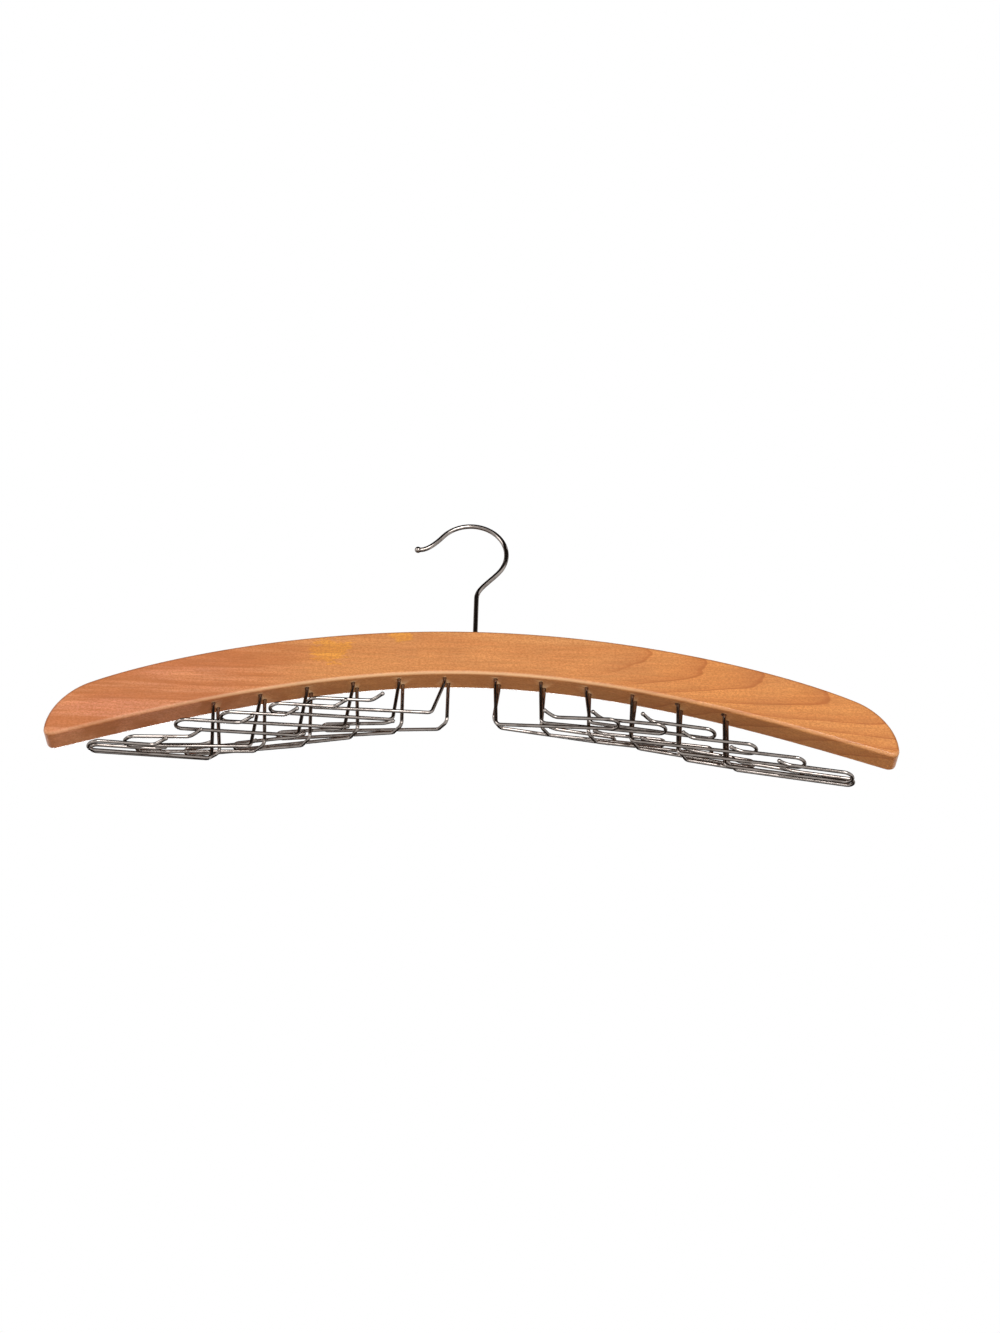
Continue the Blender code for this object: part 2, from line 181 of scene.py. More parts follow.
@dataclass(frozen=True)
class Fade:
    """A smooth change from low to high while a value goes from start to end."""

    start: float
    end: float
    low: float = 0.0
    high: float = 1.0


@dataclass(frozen=True)
class Cloud:
    """A noise pattern on a coordinate that may be stretched and turned first."""

    stretch: Triple | None = None
    scale: float = 1.0
    detail: float = 2.0
    rough: float = 0.5
    turn: Triple = (0.0, 0.0, 0.0)


class NodeBoard:
    """Short calls for laying out shader nodes in one tree."""

    def __init__(self, tree: bpy.types.NodeTree) -> None:
        """Keep the tree.

        Args:
            tree: The node tree of a material, a group or the world.
        """
        self.tree = tree

    def put(self, value: Input, socket: Socket) -> None:
        """Give an input its value.

        Args:
            value: A constant, or the output that is wired to it.
            socket: The input.
        """
        if isinstance(value, Socket):
            self.tree.links.new(value, socket)
        else:
            socket.default_value = value

    def add(
        self, kind: str, settings: dict[str, object] | None = None, **inputs: Input
    ) -> bpy.types.Node:
        """Add a node, set it up and wire its inputs.

        Args:
            kind: The node's type name without ShaderNode.
            settings: Values of the node's own properties.
            **inputs: Inputs by name with underscores for spaces, or i0, i1 and so
                on by number. A value is a constant or another node's output.

        Returns:
            The new node.
        """
        node = self.tree.nodes.new("ShaderNode" + kind)
        for name, value in (settings or {}).items():
            setattr(node, name, value)
        for name, value in inputs.items():
            numbered = name[0] == "i" and name[1:].isdigit()
            key = int(name[1:]) if numbered else name.replace("_", " ")
            self.put(value, node.inputs[key])
        return node

    def math(
        self,
        operation: str,
        first: Input,
        second: Input = 0.0,
        third: Input = 0.0,
        clamp: bool = False,
    ) -> Socket:
        """Add a Math node.

        Args:
            operation: The operation's name.
            first: First value or output.
            second: Second value or output.
            third: Third value or output.
            clamp: Whether the result is kept between 0 and 1.

        Returns:
            The node's output.
        """
        settings = {"operation": operation, "use_clamp": clamp}
        return self.add("Math", settings, i0=first, i1=second, i2=third).outputs[0]

    def mix(self, factor: Input, first: Input, second: Input) -> Socket:
        """Mix two colours.

        Args:
            factor: Share of the second colour.
            first: First colour or output.
            second: Second colour or output.

        Returns:
            The colour output.
        """
        # These are the node's sockets for colours; the others are for numbers and vectors.
        node = self.add("Mix", {"data_type": "RGBA"}, i0=factor, i6=first, i7=second)
        return node.outputs[2]

    def fade(self, value: Socket, fade: Fade) -> Socket:
        """Put a value through a smooth change.

        Args:
            value: The output that is mapped.
            fade: The change.

        Returns:
            The mapped output.
        """
        node = self.add(
            "MapRange",
            {"interpolation_type": "SMOOTHSTEP"},
            Value=value,
            From_Min=fade.start,
            From_Max=fade.end,
            To_Min=fade.low,
            To_Max=fade.high,
        )
        return node.outputs[0]

    def cloud(self, place: Socket, cloud: Cloud) -> Socket:
        """Read a noise pattern.

        Args:
            place: The coordinate output.
            cloud: The pattern.

        Returns:
            The noise value, about 0.5 on average.
        """
        if cloud.stretch:
            turned = {"Rotation": cloud.turn, "Scale": cloud.stretch}
            place = self.add("Mapping", Vector=place, **turned).outputs[0]
        layers = {"Detail": cloud.detail, "Roughness": cloud.rough}
        return self.add("TexNoise", Vector=place, Scale=cloud.scale, **layers).outputs[0]

    def group(self, tree: bpy.types.NodeTree, **inputs: Input) -> bpy.types.Node:
        """Place a node group."""
        return self.add("Group", {"node_tree": tree}, **inputs)

    def vector(self, operation: str, **inputs: Input) -> bpy.types.Node:
        """Add a Vector Math node."""
        return self.add("VectorMath", {"operation": operation}, **inputs)

    def apart(self, place: Socket) -> tuple[Socket, Socket, Socket]:
        """Split a coordinate into X, Y and Z."""
        return tuple(self.add("SeparateXYZ", Vector=place).outputs)

    def seen(self) -> Socket:
        """Tell the rays that show a background from those that light the object.

        Returns:
            1 for a camera, mirror or see-through ray, and otherwise 0.
        """
        path = self.add("LightPath").outputs
        seen = self.math("MAXIMUM", path["Is Camera Ray"], path["Is Glossy Ray"])
        return self.math("MAXIMUM", seen, path["Is Transmission Ray"])


class GroupBoard(NodeBoard):
    """A shader node group that is being laid out."""

    def __init__(self, name: str, inputs: dict[str, str], outputs: Sequence[str]) -> None:
        """Start the group.

        Args:
            name: The group's name.
            inputs: Input names and their socket kinds.
            outputs: Names of its outputs, which are all plain values.
        """
        super().__init__(bpy.data.node_groups.new(name, "ShaderNodeTree"))
        for label, kind in inputs.items():
            self.tree.interface.new_socket(
                label, in_out="INPUT", socket_type="NodeSocket" + kind
            )
        for label in outputs:
            self.tree.interface.new_socket(
                label, in_out="OUTPUT", socket_type="NodeSocketFloat"
            )
        self.given = self.tree.nodes.new("NodeGroupInput").outputs
        self.results = self.tree.nodes.new("NodeGroupOutput").inputs

    def close(self, **results: Socket) -> bpy.types.NodeTree:
        """Wire the outputs.

        Args:
            **results: What each output gives.

        Returns:
            The finished group.
        """
        for label, value in results.items():
            self.put(value, self.results[label])
        return self.tree


@dataclass(frozen=True)
class GrainGroup:
    """Growth rings of a flat cut board, arched at its right end and straight at its left.

    Lengths are in millimetres. Each ring takes up the same area of the trunk, whose axis
    lies along the board and bends down at the right end.
    """

    arch_start: float = -48.0
    arch_growth: float = 8.5
    axis_height: float = -86.5
    axis_from: float = 60.0
    axis_slope: float = -0.05
    axis_droop: float = -0.0010
    depth_growth: float = 18.0
    ring_area: float = 270.0
    ripple_area: float = 40.0
    wave: Cloud = Cloud((0.012, 0.05, 0.05))
    ripple: Cloud = Cloud((0.05, 0.2, 0.25), detail=3.0)
    ring_body: Fade = Fade(0.30, 0.97, 0.0, 0.5)
    ring_line: Fade = Fade(0.88, 0.95, 0.0, 0.5)
    ring_end: Fade = Fade(0.965, 1.0, 1.0, 0.0)
    fibre: Cloud = Cloud((0.04, 0.5, 0.55), detail=5.0, rough=0.68)
    fleck: Cloud = Cloud((0.7, 1.15, 1.15), detail=3.0, rough=0.8)
    fleck_edge: Fade = Fade(0.42, 0.60)
    blotch: Cloud = Cloud((0.02, 0.05, 0.06), detail=3.0)

    def build(self) -> bpy.types.NodeTree:
        """Make the group.

        Returns:
            The node group, with outputs Ring, Fibre, Fleck and Blotch.
        """
        inputs = {"Place": "Vector", "Ring Warp": "Float"}
        nodes = GroupBoard("board_grain", inputs, ("Ring", "Fibre", "Fleck", "Blotch"))
        per_mm = 1 / MM
        stretch = (per_mm, per_mm, per_mm)
        scaled = nodes.add("Mapping", Vector=nodes.given["Place"], Scale=stretch)
        place = scaled.outputs[0]
        turns = nodes.math("DIVIDE", self.grown(nodes, place), self.ring_area)
        phase = nodes.math("FRACT", turns)
        body = nodes.fade(phase, self.ring_body)
        line = nodes.fade(phase, self.ring_line)
        end = nodes.fade(phase, self.ring_end)
        return nodes.close(
            Ring=nodes.math("MULTIPLY", nodes.math("ADD", body, line), end),
            Fibre=nodes.cloud(place, self.fibre),
            Fleck=nodes.fade(nodes.cloud(place, self.fleck), self.fleck_edge),
            Blotch=nodes.cloud(place, self.blotch),
        )

    def grown(self, nodes: GroupBoard, place: Socket) -> Socket:
        """Work out how far the trunk had grown when each place was formed.

        Args:
            nodes: The group's board of nodes.
            place: The place in millimetres.

        Returns:
            The trunk's area at that time, waved and rippled.
        """
        x, y, z = nodes.apart(place)
        past = nodes.math("SUBTRACT", x, self.axis_from)
        bend = nodes.math("POWER", nodes.math("MAXIMUM", past, 0.0), 2.0)
        axis = nodes.math("MULTIPLY_ADD", past, self.axis_slope, self.axis_height)
        axis = nodes.math("MULTIPLY_ADD", bend, self.axis_droop, axis)
        off = nodes.math("SUBTRACT", z, axis)
        square = nodes.math("MULTIPLY", off, off)
        along = nodes.math("MAXIMUM", nodes.math("SUBTRACT", x, self.arch_start), 0.0)
        area = nodes.math("MULTIPLY_ADD", along, self.arch_growth, square)
        area = nodes.math("MULTIPLY_ADD", y, self.depth_growth, area)
        wave = nodes.math("SUBTRACT", nodes.cloud(place, self.wave), HALF)
        area = nodes.math("MULTIPLY_ADD", wave, nodes.given["Ring Warp"], area)
        ripple = nodes.math("SUBTRACT", nodes.cloud(place, self.ripple), HALF)
        return nodes.math("MULTIPLY_ADD", ripple, self.ripple_area, area)


@dataclass(frozen=True)
class HandlingGroup:
    """Marks that use leaves on any surface: rubbed patches and fine scratches."""

    rub: Cloud = Cloud(detail=4.0, rough=0.55)
    rub_edge: Fade = Fade(0.42, 0.66)
    scratch: Cloud = Cloud((0.7, 9.0, 9.0), scale=2.0, rough=0.4, turn=(0.3, 0.5, 0.4))
    scratch_edge: Fade = Fade(0.66, 0.74)

    def build(self) -> bpy.types.NodeTree:
        """Make the group.

        Returns:
            The node group, with outputs Rub and Scratch.
        """
        inputs = {"Place": "Vector", "Size": "Float"}
        nodes = GroupBoard("handling_marks", inputs, ("Rub", "Scratch"))
        sized = nodes.vector("SCALE", i0=nodes.given["Place"], Scale=nodes.given["Size"])
        place = sized.outputs[0]
        return nodes.close(
            Rub=nodes.fade(nodes.cloud(place, self.rub), self.rub_edge),
            Scratch=nodes.fade(nodes.cloud(place, self.scratch), self.scratch_edge),
        )


@dataclass(frozen=True)
class Finish:
    """What every finish needs: a material with one shader and a board for its nodes."""

    name: str

    def start(self) -> tuple[bpy.types.Material, NodeBoard, bpy.types.Node]:
        """Make the material.

        Returns:
            The material, its board of nodes and its Principled shader.
        """
        made = bpy.data.materials.new(self.name)
        made.use_nodes = True
        shader = made.node_tree.nodes["Principled BSDF"]
        return made, NodeBoard(made.node_tree), shader


@dataclass(frozen=True)
class VarnishedWood:
    """Orange tan beech with a satin varnish, its places in metres on the board.

    The strip is the pale wood along the lower edge, each patch is a golden one with its
    middle and its reach, and rings and bands are late wood. The pale colour on the lower
    eased edges is a painted highlight, and the dark colour on the underside and the upper
    eased edges is painted shade.
    """

    grain: bpy.types.NodeTree
    marks: bpy.types.NodeTree
    middle: Colour = srgb(218, 147, 88)
    left: Colour = srgb(224, 146, 108)
    right: Colour = srgb(226, 151, 85)
    late: Colour = srgb(186, 108, 58)
    pale: Colour = srgb(228, 160, 98)
    gold: Colour = srgb(238, 164, 72)
    # Painted highlight: the pale colour laid along the lower eased edges.
    wear_and_highlight: Colour = srgb(246, 200, 150)
    # Painted shade: the dark colour laid on the underside and the upper eased edges.
    painted_shade: Colour = srgb(154, 85, 30)
    ring_warp: float = 220.0
    marks_size: float = 45.0
    to_left: Fade = Fade(-0.06, -0.17)
    to_right: Fade = Fade(0.04, 0.14)
    pale_clouds: Fade = Fade(0.35, 0.68, 0.0, 0.35)
    strip_foot_x: float = 0.045
    strip_foot_z: float = -0.0863
    strip_bow: float = 1.4
    strip_fray: float = 0.004
    strip_edge: Fade = Fade(0.0, 0.0022)
    strip_middle_x: float = 0.03
    strip_ends: Fade = Fade(0.085, 0.06, 0.0, 0.85)
    patches: tuple[tuple[Triple, float], ...] = (
        ((-0.073, 0.0, -0.090), 0.0115),
        ((-0.035, 0.0, -0.079), 0.007),
    )
    patch_squash: Triple = (1.0, 0.0, 1.4)
    patch_tear: Cloud = Cloud((120.0, 120.0, 420.0), detail=3.0, rough=0.6)
    patch_torn: float = 2.4
    patch_core: float = 0.7
    patch_share: float = 0.95
    rings_right: Fade = Fade(0.05, 0.11, 0.08, 0.85)
    rings_left: Fade = Fade(-0.07, -0.13, 0.0, 0.20)
    band: Cloud = Cloud((9.0, 40.0, 170.0), turn=(0.0, -0.25, 0.0))
    band_edge: Fade = Fade(0.46, 0.58, 0.0, 0.6)
    band_reach: Fade = Fade(-0.04, -0.12, 0.25, 1.0)
    streak: Fade = Fade(0.36, 0.64, -0.09, 0.07)
    brightness: float = 1.02
    rub_darker: float = -0.06
    fleck_share: float = 0.55
    # Where the painted highlight on the lower eased edges is strongest, and how far along
    # it reaches.
    highlight_middle_x: float = -0.02
    highlight_reach: Fade = Fade(0.05, 0.17, 0.85, 0.25)
    # Share of painted shade on the underside.
    underside_shade: float = 0.28
    # Share of painted shade on the upper eased edges.
    upper_edge_shade: float = 0.6
    rough: float = 0.36
    rub_rougher: float = 0.12
    scratch_rougher: float = 0.10
    specular: float = 0.25
    coat: float = 0.25
    coat_rough: float = 0.16
    fleck_depth: float = -0.5
    scratch_depth: float = -0.4
    bump: float = 0.25
    relief: float = 0.05 * MM

    def build(self) -> bpy.types.Material:
        """Make the material.

        Returns:
            The finished wood.
        """
        made, nodes, shader = Finish("varnished_wood_looks").start()
        place = nodes.add("TexCoord").outputs["Object"]
        grain = nodes.group(self.grain, Place=place, Ring_Warp=self.ring_warp)
        marks = nodes.group(self.marks, Place=place, Size=self.marks_size)
        rub, scratch = marks.outputs
        _, fibre, fleck, _ = grain.outputs
        colour = self.tones(nodes, place, grain)
        colour = self.lines(nodes, place, grain, colour)
        level = nodes.math("MULTIPLY_ADD", rub, self.rub_darker, self.brightness)
        level = nodes.math("ADD", nodes.fade(fibre, self.streak), level)
        colour = nodes.add("HueSaturation", Color=colour, Value=level).outputs[0]
        flecks = nodes.math("MULTIPLY", fleck, self.fleck_share)
        colour = nodes.mix(flecks, colour, self.late)
        # The edges add a painted highlight and painted shade to the base colour.
        nodes.put(self.edges(nodes, place, colour), shader.inputs["Base Color"])
        rough = nodes.math("MULTIPLY_ADD", rub, self.rub_rougher, self.rough)
        rough = nodes.math("MULTIPLY_ADD", scratch, self.scratch_rougher, rough)
        nodes.put(rough, shader.inputs["Roughness"])
        shader.inputs["Specular IOR Level"].default_value = self.specular
        shader.inputs["Coat Weight"].default_value = self.coat
        shader.inputs["Coat Roughness"].default_value = self.coat_rough
        height = nodes.math("MULTIPLY_ADD", fleck, self.fleck_depth, fibre)
        height = nodes.math("MULTIPLY_ADD", scratch, self.scratch_depth, height)
        bump = nodes.add("Bump", Strength=self.bump, Distance=self.relief, Height=height)
        nodes.put(bump.outputs[0], shader.inputs["Normal"])
        return made

    def tones(self, nodes: NodeBoard, place: Socket, grain: bpy.types.Node) -> Socket:
        """Colour the board by place: its ends, pale clouds, a pale strip and gold patches.

        Args:
            nodes: The material's board of nodes.
            place: The coordinate output.
            grain: The grain's node.

        Returns:
            The colour.
        """
        x, _, z = nodes.apart(place)
        colour = nodes.mix(nodes.fade(x, self.to_left), self.middle, self.left)
        colour = nodes.mix(nodes.fade(x, self.to_right), colour, self.right)
        clouds = nodes.fade(grain.outputs["Blotch"], self.pale_clouds)
        colour = nodes.mix(clouds, colour, self.pale)
        bow = nodes.math("POWER", nodes.math("SUBTRACT", x, self.strip_foot_x), 2.0)
        brink = nodes.math("MULTIPLY_ADD", bow, self.strip_bow, self.strip_foot_z)
        brink = nodes.math("MULTIPLY_ADD", grain.outputs["Fibre"], self.strip_fray, brink)
        strip = nodes.fade(nodes.math("SUBTRACT", z, brink), self.strip_edge)
        away = nodes.math("ABSOLUTE", nodes.math("SUBTRACT", x, self.strip_middle_x))
        strip = nodes.math("MULTIPLY", strip, nodes.fade(away, self.strip_ends))
        colour = nodes.mix(strip, colour, self.pale)
        return nodes.mix(self.gold_mask(nodes, place), colour, self.gold)

    def gold_mask(self, nodes: NodeBoard, place: Socket) -> Socket:
        """Mask of the two golden patches on the left half.

        Args:
            nodes: The material's board of nodes.
            place: The coordinate output.

        Returns:
            The mask.
        """
        mask = 0.0
        tear = nodes.math("SUBTRACT", nodes.cloud(place, self.patch_tear), HALF)
        for centre, reach in self.patches:
            off = nodes.vector("SUBTRACT", i0=place, i1=centre).outputs[0]
            flat = nodes.vector("MULTIPLY", i0=off, i1=self.patch_squash).outputs[0]
            far = nodes.vector("LENGTH", i0=flat).outputs["Value"]
            far = nodes.math("MULTIPLY_ADD", tear, reach * self.patch_torn, far)
            edge = Fade(reach, reach * self.patch_core, 0.0, self.patch_share)
            mask = nodes.math("MAXIMUM", mask, nodes.fade(far, edge))
        return mask

    def lines(
        self, nodes: NodeBoard, place: Socket, grain: bpy.types.Node, colour: Socket
    ) -> Socket:
        """Draw the growth rings, and the swept bands on the left.

        Args:
            nodes: The material's board of nodes.
            place: The coordinate output.
            grain: The grain's node.
            colour: The colour so far.

        Returns:
            The colour with its lines.
        """
        x = nodes.apart(place)[0]
        right = nodes.fade(x, self.rings_right)
        strength = nodes.math("ADD", right, nodes.fade(x, self.rings_left))
        rings = nodes.math("MULTIPLY", grain.outputs["Ring"], strength)
        colour = nodes.mix(rings, colour, self.late)
        band = nodes.fade(nodes.cloud(place, self.band), self.band_edge)
        band = nodes.math("MULTIPLY", band, nodes.fade(x, self.band_reach))
        return nodes.mix(band, colour, self.late)

    def edges(self, nodes: NodeBoard, place: Socket, colour: Socket) -> Socket:
        """Paint a highlight on the lower eased edges, and paint shade on the underside and
        the upper ones.

        Args:
            nodes: The material's board of nodes.
            place: The coordinate output.
            colour: The colour so far.

        Returns:
            The colour with its edges.
        """
        x = nodes.apart(place)[0]
        eased = nodes.add("Attribute", {"attribute_name": EASED}).outputs["Fac"]
        # A painted highlight: the lower eased edges are coloured pale.
        low = nodes.math("POWER", nodes.math("MULTIPLY", eased, -1.0, clamp=True), 2.0)
        away = nodes.math("ABSOLUTE", nodes.math("SUBTRACT", x, self.highlight_middle_x))
        wear_and_highlight = nodes.math("MULTIPLY", low, nodes.fade(away, self.highlight_reach))
        colour = nodes.mix(wear_and_highlight, colour, self.wear_and_highlight)
        # Painted shade: the underside is coloured darker.
        under = nodes.add("Attribute", {"attribute_name": UNDERSIDE}).outputs["Fac"]
        under = nodes.math("MULTIPLY", under, self.underside_shade)
        colour = nodes.mix(under, colour, self.painted_shade)
        # Painted shade: the upper eased edges are coloured darker.
        upper = nodes.math("MULTIPLY", eased, self.upper_edge_shade, clamp=True)
        return nodes.mix(upper, colour, self.painted_shade)


@dataclass(frozen=True)
class PlatedWire:
    """Nickel plated steel wire, a little tarnished."""

    name: str
    marks: bpy.types.NodeTree
    bright: Colour = srgb(160, 151, 145)
    dull: Colour = srgb(84, 72, 63)
    edge: Colour = srgb(30, 25, 22)
    smooth: float = 0.07
    # On the wire this is the roughness of its rubbed places, which is real wear.
    wear_and_highlight: float = 0.22
    marks_size: float = 150.0
    rub_share: float = 0.5
    speck: Cloud = Cloud(scale=1400.0, detail=3.0, rough=0.6)
    speck_edge: Fade = Fade(0.55, 0.68)
    speck_share: float = 0.15
    speck_rougher: float = 0.04
    bump: float = 0.05
    relief: float = 0.02 * MM

    def build(self) -> bpy.types.Material:
        """Make the material.

        Returns:
            The finished metal.
        """
        made, nodes, shader = Finish(self.name).start()
        place = nodes.add("TexCoord").outputs["Object"]
        marks = nodes.group(self.marks, Place=place, Size=self.marks_size)
        rub, scratch = marks.outputs
        speck = nodes.fade(nodes.cloud(place, self.speck), self.speck_edge)
        dulled = nodes.math("MULTIPLY", rub, self.rub_share)
        colour = nodes.mix(dulled, self.bright, self.dull)
        specks = nodes.math("MULTIPLY", speck, self.speck_share)
        nodes.put(nodes.mix(specks, colour, self.dull), shader.inputs["Base Color"])
        rough = nodes.math("MULTIPLY_ADD", rub, self.wear_and_highlight - self.smooth, self.smooth)
        rough = nodes.math("MULTIPLY_ADD", speck, self.speck_rougher, rough)
        nodes.put(rough, shader.inputs["Roughness"])
        shader.inputs["Metallic"].default_value = 1.0
        shader.inputs["Specular Tint"].default_value = self.edge
        height = nodes.math("ADD", speck, scratch)
        bump = nodes.add("Bump", Strength=self.bump, Distance=self.relief, Height=height)
        nodes.put(bump.outputs[0], shader.inputs["Normal"])
        return made


@dataclass
class WireBender:
    """Bends one round wire in edit mode, stretch by stretch.

    A turn of less than least_turn, in radians, is drawn straight.
    """

    name: str
    at: Vector
    heading: Vector
    radius: float
    sides: int = 16
    smooth_deg: float = 40.0
    least_turn: float = 0.0005

    def __post_init__(self) -> None:
        """Add the wire's first ring at its place."""
        clear_selection()
        bpy.ops.object.add(type="MESH", location=(0, 0, 0))
        self.piece = bpy.context.object
        self.piece.name = self.name
        self.piece.data.name = self.name
        bpy.ops.object.mode_set(mode="EDIT")
        bpy.ops.mesh.select_mode(type="VERT")
        turn = self.heading.to_track_quat("Z", "Y").to_euler()
        bpy.ops.mesh.primitive_circle_add(
            vertices=self.sides, radius=self.radius, location=self.at, rotation=turn
        )

    def run(self, point: Vector) -> None:
        """Draw the wire straight to a point.

        Args:
            point: Where the stretch ends.
        """
        bpy.ops.mesh.extrude_region_move(
            TRANSFORM_OT_translate={"value": point - self.at, "orient_type": "GLOBAL"}
        )
        self.at = point.copy()

    def swell(self, point: Vector, radius: float) -> None:
        """Draw the wire straight to a point where it has another radius.

        Args:
            point: Where the stretch ends.
            radius: The wire's radius there.
        """
        self.run(point)
        share = radius / self.radius
        bpy.ops.transform.resize(value=(share, share, share), center_override=point)
        self.radius = radius

    def reach(self, point: Vector, steps: int) -> None:
        """Bend the wire in one arc to a point, or draw it straight if it lies ahead.

        Args:
            point: Where the arc ends.
            steps: How many stretches the arc has.
        """
        chord = point - self.at
        half = self.heading.angle(chord)
        if half < self.least_turn:
            self.run(point)
            return
        axis = self.heading.cross(chord).normalized()
        inward = axis.cross(self.heading).normalized()
        centre = self.at + inward * (chord.length / (2 * math.sin(half)))
        # The spin operator counts its angle the other way round.
        bpy.ops.mesh.spin(steps=steps, angle=-2 * half, center=centre, axis=axis)
        self.heading = Matrix.Rotation(2 * half, 3, axis) @ self.heading
        self.at = point.copy()

    def knob(self, radius: float, steps: int) -> None:
        """End the wire in a small ball.

        Args:
            radius: The ball's radius.
            steps: How many stretches the ball has from the wire to its pole.
        """
        first = math.asin(min(1.0, self.radius / radius))
        centre = self.at + self.heading * (radius * math.cos(first))
        for i in range(1, steps):
            a = first + (math.pi - first) * i / steps
            place = centre - self.heading * (radius * math.cos(a))
            self.swell(place, radius * math.sin(a))

    def finish(self) -> bpy.types.Object:
        """Close both ends and shade the wire.

        Returns:
            The wire's object.
        """
        bpy.ops.mesh.select_all(action="SELECT")
        bpy.ops.mesh.fill_holes(sides=0)
        bpy.ops.object.mode_set(mode="OBJECT")
        close_shape(self.piece, self.smooth_deg)
        return self.piece


def mirrored(point: Vector) -> Vector:
    """The same point of the outline on the other half."""
    return Vector((-point.x, point.y))


@dataclass
class BoardShape:
    """Outline of the wooden board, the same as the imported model's."""

    half_length: float = 222.5 * MM
    thickness: float = 15.5 * MM
    edge_round: float = 2.0 * MM
    edge_steps: int = 5
    middle_height: float = 27.7 * MM
    shoulder_x: float = 202.0 * MM
    shoulder_drop: float = 38.8 * MM
    shoulder_slope_deg: float = 25.3
    top_middle_handle: float = 88.0 * MM
    top_shoulder_handle: float = 40.0 * MM
    nose_drop: float = 68.5 * MM
    end_upper_handle: float = 12.0 * MM
    nose_upper_handle: float = 13.0 * MM
    nose_lower_handle: float = 3.3 * MM
    corner_handle: float = 3.6 * MM
    corner_x: float = 216.5 * MM
    corner_drop: float = 72.1 * MM
    corner_slope_deg: float = 18.2
    bottom_middle_handle: float = 80.0 * MM
    bottom_corner_handle: float = 60.0 * MM
    curve_steps: int = 32
    top_z: float = -75.1 * MM
    centre_x: float = 4.0 * MM

    def corner_way(self) -> Vector:
        """Which way the underside runs at its corner, outward."""
        slope = math.radians(self.corner_slope_deg)
        return Vector((math.cos(slope), -math.sin(slope)))

    def bottom_controls(self) -> list[Vector]:
        """Control points of the right half of the underside.

        Returns:
            The four points, from the middle out.
        """
        corner = Vector((self.corner_x, -self.corner_drop))
        return [
            Vector((0, -self.middle_height)),
            Vector((self.bottom_middle_handle, -self.middle_height)),
            corner - self.bottom_corner_handle * self.corner_way(),
            corner,
        ]

    def knots(self) -> list[tuple[Vector, Vector, Vector]]:
        """Bezier knots of the whole outline: left handle, point and right handle.

        Returns:
            The knots in order, from the top middle round by the right end.
        """
        slope = math.radians(self.shoulder_slope_deg)
        along = Vector((math.cos(slope), -math.sin(slope)))
        down = Vector((0, -1))
        shoulder = Vector((self.shoulder_x, -self.shoulder_drop))
        nose = Vector((self.half_length, -self.nose_drop))
        a, b, c, d = self.bottom_controls()
        right = [
            (
                shoulder - self.top_shoulder_handle * along,
                shoulder,
                shoulder + self.end_upper_handle * along,
            ),
            (
                nose - self.nose_upper_handle * down,
                nose,
                nose + self.nose_lower_handle * down,
            ),
            (d + self.corner_handle * self.corner_way(), d, c),
        ]
        left = [(mirrored(r), mirrored(p), mirrored(l)) for l, p, r in reversed(right)]
        top = Vector((self.top_middle_handle, 0))
        upper = (mirrored(top), Vector((0, 0)), top)
        return [upper, *right, (b, a, mirrored(b)), *left]


